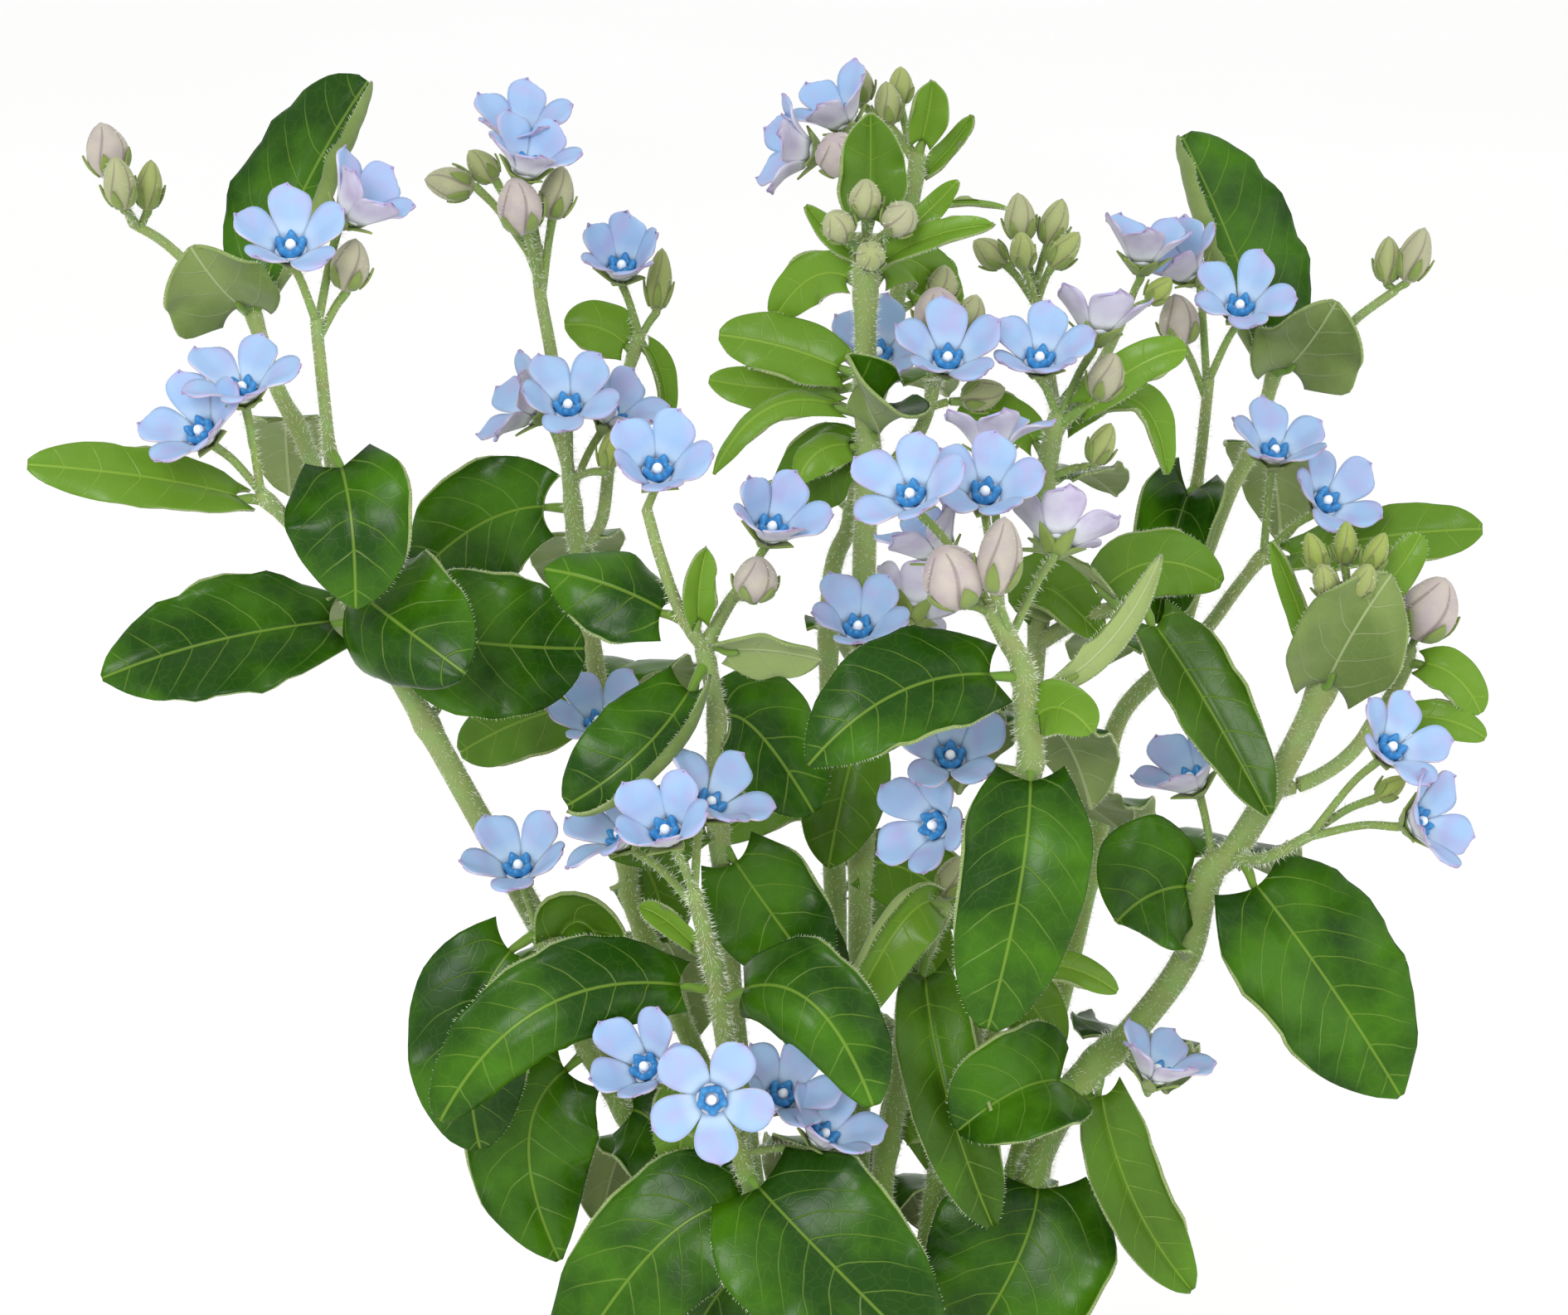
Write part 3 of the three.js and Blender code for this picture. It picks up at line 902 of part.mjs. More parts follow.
// Soil fill, lumpy on top, with a plain hole for each stem
function soilBody() {
  const low = POT_FLOOR + SEAT_GAP;
  const edge = SOIL_LEVEL - SOIL_DROP;
  const wallRadius = (height) => potInside(height) * Math.cos(Math.PI / POT_SIDES) - SEAT_GAP;
  const profile = [
    [0, low], [wallRadius(low), low], [wallRadius(edge), edge], [44, SOIL_LEVEL - 1.6],
    [20, SOIL_LEVEL], [0, SOIL_LEVEL],
  ];
  const geometry = lathe(profile, SOIL_SIDES);
  const position = geometry.attributes.position;
  for (let i = 0; i < position.count; i++) {
    const [x, y, z] = [position.getX(i), position.getY(i), position.getZ(i)];
    const out = Math.hypot(x, y);
    if (z > edge && out > 1) position.setZ(i, z + SOIL_LUMP * Math.sin(0.9 * x) * Math.cos(1.1 * y + 1));
  }
  let soil = solidOf(geometry);
  for (const stem of PLAN) {
    const radius = (stem.stalks[0][0] + SEAT_GAP) / Math.cos(Math.PI / STEM_SIDES);
    const hole = new THREE.CylinderGeometry(radius, radius, 2 * STEM_DEPTH, STEM_SIDES);
    hole.rotateX(Math.PI / 2);
    hole.translate(stem.root[0], stem.root[1], SOIL_LEVEL - STEM_DEPTH - SEAT_GAP + STEM_DEPTH);
    soil = soil.subtract(solidOf(hole));
  }
  return soil;
}

const FINISHES = {
  terracotta: new THREE.MeshStandardMaterial({ color: '#b5643c', roughness: 0.85, metalness: 0 }),
  soil: new THREE.MeshStandardMaterial({ color: '#3a2a1d', roughness: 0.95, metalness: 0 }),
  foliage: new THREE.MeshStandardMaterial({ color: '#3c6f1c', roughness: 0.5, metalness: 0 }),
  petal: new THREE.MeshStandardMaterial({ color: '#aac6ee', roughness: 0.6, metalness: 0 }),
};

const group = new THREE.Group();

function addPart(name, body, finish) {
  const mesh = new THREE.Mesh(geometryOf(body), FINISHES[finish].clone());
  mesh.name = name;
  group.add(mesh);
}

addPart('pot', potBody(), 'terracotta');
addPart('soil', soilBody(), 'soil');
PLAN.forEach((stem, stemIndex) => {
  const { green, corollas } = growStem(stem, stemIndex);
  addPart(stem.name, green, 'foliage');
  for (const [node, bodies] of Object.entries(corollas)) addPart(node, fuse(bodies), 'petal');
});

export default group;
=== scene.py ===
"""A tweedia in a clay pot: the leaves, flowers, buds, hairy stems, soil and pot that dress the solids."""

import math
import random
from collections import namedtuple

import bmesh
import bpy
from mathutils import Matrix, Vector, noise


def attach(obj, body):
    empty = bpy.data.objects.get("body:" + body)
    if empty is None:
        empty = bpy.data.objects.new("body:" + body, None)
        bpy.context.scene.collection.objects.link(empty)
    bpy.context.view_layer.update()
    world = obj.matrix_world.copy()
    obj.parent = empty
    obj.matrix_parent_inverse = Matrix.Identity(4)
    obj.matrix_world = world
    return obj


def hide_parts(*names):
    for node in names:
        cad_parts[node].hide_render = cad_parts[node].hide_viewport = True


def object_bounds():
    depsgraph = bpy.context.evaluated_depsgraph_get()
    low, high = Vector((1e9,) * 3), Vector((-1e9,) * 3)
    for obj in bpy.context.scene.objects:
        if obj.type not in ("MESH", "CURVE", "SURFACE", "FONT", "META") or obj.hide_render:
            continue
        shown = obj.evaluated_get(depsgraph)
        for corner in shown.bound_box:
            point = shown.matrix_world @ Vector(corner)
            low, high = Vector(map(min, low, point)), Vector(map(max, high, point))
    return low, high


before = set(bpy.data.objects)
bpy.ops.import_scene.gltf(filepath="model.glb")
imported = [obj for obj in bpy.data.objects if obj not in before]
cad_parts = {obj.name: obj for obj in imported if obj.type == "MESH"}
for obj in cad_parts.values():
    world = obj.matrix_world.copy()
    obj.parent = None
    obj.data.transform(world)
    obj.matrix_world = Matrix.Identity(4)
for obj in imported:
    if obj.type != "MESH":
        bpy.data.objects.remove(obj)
cad_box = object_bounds()

# Millimetres are used throughout and turned to metres when a mesh is finished
METRE = 0.001

# Pot and soil. An edge whose faces turn by more than the edge angle is rounded, and one whose faces turn by more
# than the crease angle is shaded as a corner.
POT_HEIGHT = 115
POT_BASE_RADIUS = 47
POT_RIM_RADIUS = 68
POT_BAND_HEIGHT = 20
POT_BAND_STEP = 2.6
POT_WALL = 4.2
POT_FLOOR = 6
POT_FACETS = 96
POT_ROUNDING = 1.2
POT_EDGE_ANGLE = 0.35
POT_CREASE_ANGLE = 0.6
DRAIN_COUNT = 4
DRAIN_RADIUS = 5.5
DRAIN_PITCH_RADIUS = 24
SOIL_LEVEL = 105
SOIL_DROP = 3
SOIL_RINGS = 26
SOIL_FACETS = 72
SOIL_LUMP = 1.3
SOIL_LUMP_LENGTH = 14
SOIL_CRUMB = 0.6
SOIL_CRUMB_LENGTH = 3.2
SEAT_GAP = 0.3
STEM_DEPTH = 13.5
CRUMB_COUNT = 420
CRUMB_SIZES = (0.7, 1.9)
PERLITE_SIZES = (0.6, 1.3)

# Viewing frame in which the plant is laid out: the layout plane stands through the stem crown, square to the
# line of sight, with u to the right and v up in it, and "back" is the distance behind the pot's axis.
VIEW_ELEVATION = math.radians(15)
VIEW_DISTANCE = 1000
VIEW_AIM = (-14.9, 161.2)
CROWN = Vector((0, 0, SOIL_LEVEL))
PHOTO_WIDTH = 1891
MM_PER_PIXEL = 1 / 6

# Leaf blades
BLADE_THICKNESS = 0.7
BLADE_COLUMNS = 16
BLADE_ROWS = 22
BLADE_WIDEST_AT = 0.32
BLADE_BASE_SHARE = 0.5
BLADE_ROUNDING = 2.3
BLADE_ROLL_STEPS = 12
TIP_CROWDING = 1.25
MARGIN_CROWDING = 1.4
RIB_SAMPLES = 40
LOBE_REACH = 0.1
LOBE_LIMIT = 3.2
LOBE_END = 0.34
WAVE_COUNT = 1.6
ROLL_POWER = 7
MARGIN_ROLL = 1.9
CRINKLE = 0.06
CRINKLE_LENGTH = 13
PETIOLE_LENGTH = 7
PETIOLE_SHARE = 0.2
PETIOLE_RADIUS = 0.95
PETIOLE_DROP = (0.7, 0.8)
VEIN_SPACING = 6.4
VEIN_LEAN = 0.45
VEIN_ARCH = 0.045
VEIN_WIDTH = 0.26
VEIN_DRIFT = 1.6
PUCKER = 0.22
RIB_GROOVE = 0.35
RIB_CORE = 0.15
RIB_WIDTH = 1.6 * VEIN_WIDTH
BRACT_WIDTH = 12
FULL_WIDTH = 21

# Each style: upward fold of the left and right half in radians, further curl at the left and right margin,
# wave height as a share of the half width, and how blunt the tip is (small is blunt).
STYLES = {
    "flat": [0.1, 0.1, -0.35, -0.35, 0.05, 0.5],
    "heart": [0.14, 0.14, -0.4, -0.4, 0.05, 0.75],
    "trough": [0.45, 0.45, -0.1, -0.1, 0.06, 0.55],
    "cup": [0.75, 0.75, 0.2, 0.2, 0.05, 0.6],
    "saddle": [-0.3, -0.3, -0.5, -0.5, 0.08, 0.7],
    "rim_left": [0.1, 0.1, 2.4, -0.3, 0.05, 0.45],
    "rim_right": [0.1, 0.1, -0.3, 2.4, 0.05, 0.45],
    "curl_left": [-0.2, 0.1, -1.8, -0.4, 0.06, 0.5],
    "curl_right": [0.1, -0.2, -0.4, -1.8, 0.06, 0.5],
}

# Flowers
BLOOM_RADIUS = 12.5
THROAT_RADIUS = 2.4
PETAL_HALF_WIDTH = 3.95
PETAL_THICKNESS = 0.45
PETAL_WIDEST_AT = 0.62
PETAL_FOOT_SHARE = 0.45
PETAL_KEEL = 0.28
PETAL_COLUMNS = 8
PETAL_ROWS = 10
PETAL_CUP = 1.25
PETAL_TWIST = 0.16
CROWN_HEIGHT = 2.3
CROWN_LOBE = 1.15
CALYX_DROP = 0.9
CALYX_LENGTH = 4.2
SEPAL_HALF_WIDTH = 1.5
SEPAL_REACH = 5.4
SEPAL_THICKNESS = 0.4

# Outlines turned round a flower's axis, as [radius, height] from the middle of its foot. The heights of the
# crown's outline are shares of CROWN_HEIGHT.
BLOOM_FLOOR = [(0, 0.2), (THROAT_RADIUS + 0.5, 0.1), (THROAT_RADIUS + 0.3, -0.7), (1.5, -1.3), (0, -1.3)]
CROWN_OUTLINE = [(1.1, 0), (1.25, 0.75), (1.55, 1), (1.95, 0.95), (2.2, 0.7), (2.15, 0.3), (2.2, 0)]
BOSS_OUTLINE = [(0, 0), (1, 0), (0.95, 1.3), (0.6, 1.9), (0, 2.1)]

# Stems, flower stalks, buds and hairs
STALK_SIDES = 12
STALK_STEPS = 10
PEDICEL_SIDES = 8
PEDICEL_RADIUS = 0.8
PEDICEL_STEPS = 5
PEDICEL_STEP_DOWN = 2.2
PEDICEL_BOW = 0.06
KNOT_SWELL = 0.22
KNOT_REACH = 2.2
YOUNG_ABOVE = 260
AGEING_SPAN = 130
BUD_COLUMNS = 30
BUD_ROWS = 14
BUD_FOLD = 0.07
BUD_SPIRAL = 0.9
RIPE_BUD_WIDTH = 8.5
GREEN_BUD_WIDTH = 4.5
HAIR_RADIUS = 0.045
STEM_HAIRS = 2.0
MARGIN_HAIRS = 1.8
BUD_HAIRS = 1.3
STEM_HAIR_LENGTHS = (0.6, 1.5)
BUD_HAIR_LENGTHS = (0.4, 0.8)
MARGIN_HAIR_LENGTHS = (0.45, 0.8)

# The plant, stem by stem, in the viewing frame's millimetres. Stalk: radius at its foot and top, then points
# [u, v, back]. Leaf: foot [u, v], middle and tip [u, v, further back], width, facing at foot and tip as
# [right, up, towards the viewer], style. Bloom: its node, middle, facing, cup angle, foot on the stalk.
# Bud: middle, direction, length, width, foot on the stalk.
PLAN = [
  {
    "name": "stem_left", "root": [-20, -2],
    "stalks": [
      [2.7, 2.1, [[-40, 62, -11], [-60, 100, -20], [-74.5, 126, -29], [-88, 150, -32], [-101, 173, -36]]],
      [1.5, 1.3, [[-101, 173, -36], [-107, 179, -42], [-113, 187, -51], [-120, 194, -58]]],
      [1.7, 1.4, [[-101, 173, -36], [-106, 190, -31], [-112, 206, -24], [-117, 216, -19],
        [-121.5, 230, -14]]],
      [1.2, 1.1, [[-105, 186, -32], [-106, 200, -44], [-107, 210, -51], [-109, 229, -56]]],
      [1.0, 0.9, [[-121.5, 230, -14], [-133, 239, -10], [-140, 245, -7], [-146, 248.5, -7]]],
    ],
    "leaves": [
      [[-121, 231], [-111.5, 255, 5], [-98.5, 277, 8], 29, [-0.3, 0.1, 1], [-0.5, 0.3, 0.8], "rim_right"],
      [[-122, 231], [-128, 236, -8], [-134, 244, -12], 26, [0.1, 0.5, -0.9], [0.1, 0.2, -1], "saddle"],
      [[-119, 192], [-141, 197, -6], [-167, 200, -10], 14, [0, 0.9, 0.4], [0.1, 0.3, 1], "flat"],
      [[-105, 203], [-102, 190, -12], [-101, 171, -12], 27, [-0.1, 0.5, 0.9], [0, 0, 1], "heart"],
      [[-99, 169], [-127, 165, -5], [-152, 157, -8], 28, [-0.1, 0.8, 0.6], [-0.1, 0.6, 0.8], "heart"],
      [[-101, 175], [-95, 170, -14], [-79, 158, -22], 31, [0, 0.5, 0.85], [0.1, 0.5, 0.85], "curl_right"],
      [[-97, 167], [-75, 164, 4], [-55, 163, 8], 31, [0.1, 0.5, 0.8], [0.2, 0.4, 0.9], "flat"],
      [[-101, 173], [-100, 170, 20], [-97, 163, 42], 22, [0, 1, 0], [0, 0.9, -0.5], "heart"],
      [[-114, 208], [-115, 207, 14], [-114, 194, 26], 17, [0, 1, 0], [0, 0.8, -0.6], "flat"],
      [[-86, 147], [-79, 160, 16], [-72, 156, 32], 20, [0, 1, 0], [0.2, 0.8, -0.6], "heart"],
      [[-38, 58], [-46, 65, 14], [-52, 47, 26], 24, [-0.1, 1, 0], [-0.3, 0.8, -0.4], "heart"],
    ],
    "blooms": [
      ["bloom_01", [-114, 243.4, -4.5], [0, 0.98, 0.7], 0.56, [-109, 229]],
      ["bloom_02", [-101.7, 250.6, 6.6], [0.6, 0.7, 0.2], 0.9, [-109, 229]],
      ["bloom_03", [-123.7, 214.6, -5.1], [-0.1, 0.9, 0.35], 0.62, [-120, 194]],
      ["bloom_03", [-131.9, 206.3, -6.4], [-0.5, 0.78, 0.7], 0.62, [-120, 194]],
    ],
    "buds": [
      [[-151, 263, -2], [-0.2, 1, 0], 11, 8, [-146, 248.5]],
      [[-148.5, 256.5, -9], [-0.1, 1, 0.3], 11, 6, [-146, 248.5]],
      [[-142.5, 256, 0], [0.1, 1, 0], 10, 5, [-146, 248.5]],
      [[-102, 240, 4], [0.2, 1, 0], 10, 7, [-109, 229]],
    ],
  },
  {
    "name": "stem_left_inner", "root": [-13, 10],
    "stalks": [
      [2.2, 1.6, [[-20, 50, 8], [-44, 108, 13], [-46.5, 120, 13], [-52, 155, 14], [-56, 180, 14],
        [-58, 198, 10]]],
      [1.3, 1.1, [[-58, 197, 10], [-61.5, 221, 14], [-64, 235, 14], [-64.5, 244, 14]]],
      [1.3, 1.1, [[-55, 183, 14], [-51.5, 189, 20], [-50, 200, 27], [-47.5, 214, 31], [-44, 226, 31]]],
    ],
    "leaves": [
      [[-57.5, 191], [-74, 189, 6], [-90, 176, 8], 25, [0.1, 0.5, 0.9], [-0.2, 0.3, 0.9], "heart"],
      [[-52, 152], [-66, 149, 6], [-80, 142, 10], 17, [0, 0.4, 0.9], [-0.2, 0.5, 0.8], "flat"],
      [[-45, 222], [-51, 227, 0], [-59, 228, 0], 12, [0, 0.6, 0.8], [0, 0.5, 0.9], "flat"],
      [[-44, 225], [-40, 219, 3], [-38.5, 208, 5], 6.5, [0.5, 0.5, 0.7], [0.5, 0.2, 0.8], "trough"],
      [[-57, 185], [-57, 184, 20], [-60, 174, 40], 20, [0, 1, 0], [0, 0.8, -0.6], "heart"],
      [[-52, 152], [-44, 160, 18], [-36, 147, 30], 23, [0, 1, -0.1], [0.2, 0.7, -0.6], "heart"],
      [[-42, 104], [-37, 102, 16], [-33, 84, 28], 24, [0, 1, -0.1], [-0.2, 0.7, -0.6], "heart"],
      [[-46.5, 121], [-42, 118, 4], [-38, 104, 6], 17, [0, 0.5, 0.9], [-0.2, 0.3, 0.9], "flat"],
      [[-24, 60], [-32, 58, 18], [-40, 40, 30], 28, [0, 1, 0], [-0.2, 0.8, -0.6], "heart"],
      [[-15, 30], [-18, 34, 18], [-27, 26, 36], 24, [0, 1, 0], [-0.2, 0.8, -0.6], "flat"],
    ],
    "blooms": [
      ["bloom_04", [-68, 265.6, 5.1], [0, 0.9, 0.4], 0.8, [-64.5, 244]],
      ["bloom_04", [-66.8, 259.6, -7.2], [0.3, 0.9, 0.3], 0.8, [-64.5, 244]],
      ["bloom_05", [-58.3, 211.4, -10.5], [0, 0.98, 0.7], 0.62, [-58, 198]],
      ["bloom_06", [-65.8, 210.7, 2.5], [-0.8, 0.5, 0.2], 0.67, [-58, 198]],
      ["bloom_05", [-49.8, 209.3, -1.5], [0.5, 0.8, 0.2], 0.72, [-58, 198]],
      ["bloom_07", [-47.5, 239.3, -2.7], [0, 0.85, 0.5], 0.9, [-44, 226]],
      ["bloom_08", [-52, 147.7, -12.8], [-0.2, 0.98, 0.5], 0.62, [-49, 136]],
    ],
    "buds": [
      [[-82, 256.5, 2], [-1, 0.15, 0], 10, 6.5, [-64.5, 244]],
      [[-75.5, 260, 6], [-0.7, 0.8, 0], 8, 5.5, [-64.5, 244]],
      [[-68, 252, -10], [-0.2, 1, 0.3], 12, 8.5, [-64.5, 244]],
      [[-60.5, 254.5, 0], [0.2, 1, 0], 11, 6.5, [-64.5, 244]],
      [[-40, 237, 2], [0.1, 1, 0], 13, 5, [-44, 226]],
      [[-50, 203, -6], [0.2, 1, 0], 9, 4, [-58, 197]],
    ],
  },
  {
    "name": "stem_centre_left", "root": [-9, -12],
    "stalks": [
      [2.0, 1.5, [[-20, 50, -25], [-28, 125, -43], [-28.5, 150, -46], [-31, 163, -48]]],
      [1.3, 1.1, [[-31, 163, -48], [-26, 172, -46], [-22, 177, -46]]],
      [1.2, 1.0, [[-31, 163, -48], [-36, 171, -51], [-40, 182, -53], [-42.5, 191, -54]]],
    ],
    "leaves": [
      [[-35, 168], [-48, 175, 0], [-63, 179, 3], 22, [0, 0.7, 0.7], [0, 0.6, 0.8], "saddle"],
      [[-32, 167], [-32, 175, -3], [-30.5, 183, -4], 8, [0.3, 0.1, 1], [0.2, 0, 1], "trough"],
      [[-31, 160], [-42, 144, -12], [-58.5, 131.5, -14], 23, [-0.2, 0.5, 0.8], [0, 0.3, 1], "rim_left"],
      [[-29, 163], [-18, 163, -5], [-7, 161, -8], 14, [0, 0.5, -0.8], [0, 0.4, -0.8], "saddle"],
      [[-28, 148], [-21, 147, 4], [-9, 130, 6], 24, [0.2, 0.4, 0.9], [0.3, 0.2, 0.9], "flat"],
      [[-28, 125], [-19, 112, -2], [-8, 97, -4], 24, [0, 0.3, 1], [0.1, 0.2, 1], "flat"],
      [[-28, 128], [-39, 127, 4], [-50, 121, 6], 17, [0, 0.6, 0.8], [-0.2, 0.4, 0.9], "heart"],
      [[-26, 108], [-14, 105, 8], [-4, 91, 12], 20, [0, 0.4, 0.9], [0, 0.2, 1], "heart"],
    ],
    "blooms": [
      ["bloom_09", [-40.3, 198.6, -3.3], [0, 0.88, 0.8], 0.75, [-42.5, 191]],
      ["bloom_10", [-17.5, 186.8, -1.7], [0.2, 0.8, 0.5], 0.85, [-22, 177]],
    ],
    "buds": [
      [[-20.5, 177, -7], [0.1, 1, 0.2], 9, 8, [-25, 173]],
    ],
  },
  {
    "name": "stem_centre", "root": [0, -3],
    "stalks": [
      [2.4, 2.0, [[0, 60, -7], [1, 165, -14], [1.5, 190, -14], [2, 208, -14], [1.5, 222, -14],
        [1.5, 245, -14]]],
      [1.4, 1.2, [[1.7, 192, -14], [7, 200, -8], [12.5, 207, -8], [15.5, 216, -8]]],
    ],
    "leaves": [
      [[2, 209], [4, 208, -9], [-2, 222, -15], 22, [0, 1, 0.3], [0, 0.9, 0.5], "cup"],
      [[1.5, 217], [-13, 223, 3], [-28, 226, 4], 13.5, [0, 0.5, 0.9], [0, 0.4, 0.9], "flat"],
      [[1.5, 216], [-14, 215, 8], [-30, 217, 10], 10.5, [0, 0.7, 0.7], [-0.2, 0.5, 0.8], "flat"],
      [[2, 209], [-16, 212, -2], [-29, 198, -4], 7.5, [0, 0.8, 0.6], [-0.5, 0.5, 0.7], "saddle"],
      [[2, 203], [-7, 203, -4], [-12, 196, -6], 10, [0, 0.7, 0.7], [-0.2, 0.5, 0.8], "saddle"],
      [[1.5, 200], [-6, 200, 4], [-16, 190, 6], 17, [-0.2, 0.5, 0.8], [-0.3, 0.3, 0.9], "flat"],
      [[2, 245], [2.5, 257, 6], [2.5, 270.5, 5], 16, [0, 0.1, 1], [0, 0.2, 1], "trough"],
      [[1.5, 241], [-4, 245, 3], [-10.5, 252, 3], 6, [0, 0.5, 0.8], [0, 0.3, 0.9], "trough"],
      [[1.5, 241], [11, 248, 4], [20, 257, 3], 6, [0, 0.5, 0.8], [0, 0.4, 0.9], "flat"],
      [[1.5, 238], [13, 245, -5], [27, 248, -7], 7.5, [0, 0.7, 0.7], [0, 0.6, 0.8], "trough"],
      [[1.5, 235], [-8, 238, 6], [-17, 229, 10], 11, [0, 0.6, 0.8], [0, 0.4, 0.9], "flat"],
      [[1.5, 233], [10, 241, 12], [20, 231, 16], 12, [0, 0.6, 0.8], [0.2, 0.4, 0.9], "flat"],
      [[1, 150], [-3, 134, -6], [-6, 119, -8], 18, [0.2, 0.2, 1], [0, 0, 1], "heart"],
      [[0.5, 120], [13, 117, 6], [24, 106, 10], 17, [0, 0.3, 0.9], [0.1, 0.2, 0.9], "heart"],
    ],
    "blooms": [
      ["bloom_11", [0, 166.8, -11.6], [0, 0.8, 0.5], 0.72, [1, 150]],
      ["bloom_12", [10.7, 170.1, 3.6], [0.1, 0.3, -0.8], 0.72, [1, 152]],
      ["bloom_13", [18, 220.9, -13.5], [0, 0.8, 0.55], 0.62, [15.5, 216]],
    ],
    "buds": [
      [[1.5, 253.5, -6], [0, 1, 0.3], 8, 6, [1.5, 245]],
      [[8.5, 249.5, -9], [0.4, 0.7, 0.6], 8, 6.5, [1.5, 245]],
      [[-4, 248, -9], [-0.4, 0.7, 0.6], 7.5, 6, [1.5, 245]],
      [[2.5, 242, -13], [0, 0.4, 0.9], 7, 5.5, [1.5, 245]],
      [[16, 231, 0], [-0.1, 1, 0.3], 9.5, 9, [15.5, 216]],
      [[22.5, 230, 3], [0.3, 1, 0.1], 8.5, 6, [15.5, 216]],
      [[17, 236, 7], [0.1, 1, 0], 8, 6, [15.5, 216]],
      [[25, 214, 2], [1, 0.3, 0], 9, 6, [14, 211]],
    ],
  },
  {
    "name": "stem_centre_back", "root": [3, 10],
    "stalks": [
      [2.0, 1.5, [[-2, 60, 19], [-6, 165, 34], [-1, 190, 37], [4, 215, 41], [9, 240, 41], [12, 262, 41]]],
    ],
    "leaves": [
      [[12, 262], [14, 270, -1], [15, 277, -2], 9, [0, 0.1, 1], [0, 0.2, 1], "trough"],
      [[11.5, 257], [18, 263, 4], [23, 270, 5], 5, [0, 0.5, 0.8], [0, 0.5, 0.8], "trough"],
      [[10, 250], [20, 252.5, -3], [30, 251.5, -4], 3, [0, 1, 0.2], [0, 1, 0.2], "flat"],
      [[7, 230], [16, 236, 4], [20, 238, 6], 12, [0, 0.4, 0.9], [0.2, 0.4, 0.9], "flat"],
      [[9, 240], [4, 246, 14], [-4, 243, 28], 12, [0, 1, 0], [0, 0.9, -0.5], "flat"],
      [[4, 215], [10, 219, 16], [18, 214, 32], 18, [0, 1, 0], [0.2, 0.8, -0.6], "heart"],
      [[-1, 190], [-10, 196, 14], [-20, 190, 28], 18, [0, 1, 0], [-0.2, 0.8, -0.6], "heart"],
      [[-6, 165], [2, 165, 16], [10, 148, 28], 24, [0, 1, 0], [0.2, 0.8, -0.6], "heart"],
      [[-3, 131], [-15, 133, 9], [-28, 124, 13], 14, [0.1, 0.5, 0.85], [0, 0.4, 0.9], "trough"],
      [[-3, 116], [8, 112, 6], [17, 94, 8], 15, [0, 0.5, 0.85], [0, 0.4, 0.9], "flat"],
      [[-2, 62], [-6, 62, 20], [-10, 44, 36], 28, [0, 1, 0], [0, 0.8, -0.6], "heart"],
      [[0, 48], [8, 57, 18], [14, 45, 34], 24, [0, 1, 0], [0.2, 0.8, -0.6], "heart"],
    ],
    "blooms": [
      ["bloom_14", [-3, 269.4, -4.4], [-0.5, 0.8, 0.2], 0.77, [10, 250]],
      ["bloom_14", [-10.4, 262.8, -9], [-0.9, 0.2, 0.1], 0.8, [10, 247]],
      ["bloom_15", [4, 222, -10.4], [0, 0.88, 0.7], 0.62, [4, 210]],
    ],
    "buds": [
      [[0, 276.5, 12], [-0.2, 1, 0], 9, 6, [12, 262]],
      [[6, 272.5, 2], [-0.1, 1, 0], 9, 5.5, [12, 262]],
      [[8.5, 276, 10], [0, 1, 0], 8, 5, [12, 262]],
      [[-4, 262.5, -15.5], [-0.2, 0.7, 0.6], 9.5, 9, [10, 248]],
    ],
  },
  {
    "name": "stem_centre_right", "root": [10, -14],
    "stalks": [
      [2.4, 1.9, [[15, 50, -23], [23, 85, -38], [34, 135, -65], [34, 148, -66], [33, 159, -68],
        [30, 165, -70], [27, 171, -71]]],
    ],
    "leaves": [
      [[34.5, 141], [33, 118, -12], [26, 86.5, -14], 27, [0, 0.3, 1], [0, 0, 1], "flat"],
      [[32.5, 157], [10, 155, -14], [-10, 139.5, -18], 25, [-0.1, 0.6, 0.8], [-0.2, 0.4, 0.9], "heart"],
      [[34, 153], [50, 164, 2], [61, 182, 4], 6.5, [0.4, 0.4, -0.8], [0.4, 0.2, -0.9], "saddle"],
      [[34, 147], [40, 151, -5], [47, 146, -8], 13, [0.2, 0.6, 0.8], [0.3, 0.5, 0.8], "flat"],
      [[30, 98], [41, 99, 4], [52, 94, 6], 8, [0, 0.8, 0.6], [0, 0.6, 0.8], "flat"],
      [[27, 93], [34, 92, 8], [40, 82, 10], 14, [0.3, 0.3, 0.9], [0.3, 0.2, 0.9], "flat"],
      [[34, 146], [41, 146, 14], [47, 131, 26], 22, [0, 1, 0], [0.2, 0.8, -0.6], "heart"],
    ],
    "blooms": [
      ["bloom_16", [10.7, 193.5, -1.4], [-0.3, 0.88, 0.7], 0.61, [27, 171]],
      ["bloom_17", [25.5, 194, 12.7], [0, 0.88, 0.75], 0.62, [27, 171]],
      ["bloom_18", [27, 203.5, 28.4], [0, 0.8, -0.2], 0.62, [27, 171]],
      ["bloom_19", [15.9, 182.8, 19.7], [-0.5, 0.8, -0.1], 0.8, [27, 171]],
      ["bloom_20", [39.9, 184.7, 15.2], [0.2, 0.6, -0.6], 0.62, [27, 171]],
      ["bloom_21", [18.5, 141, 9], [0, 0.88, 0.75], 0.62, [34, 137]],
      ["bloom_21", [15.5, 127.5, 4], [-0.6, 0.28, 0.8], 0.62, [32, 126]],
    ],
    "buds": [
      [[19, 177.5, -5], [-0.4, 0.9, 0.3], 13, 11, [28, 169]],
      [[28.5, 181.5, -6], [0.1, 1, 0.1], 15, 8, [27, 171]],
    ],
  },
  {
    "name": "stem_right_inner", "root": [13, -2],
    "stalks": [
      [2.2, 1.5, [[30, 110, -6], [36, 165, -10], [37.5, 195, -10], [40, 210, -10]]],
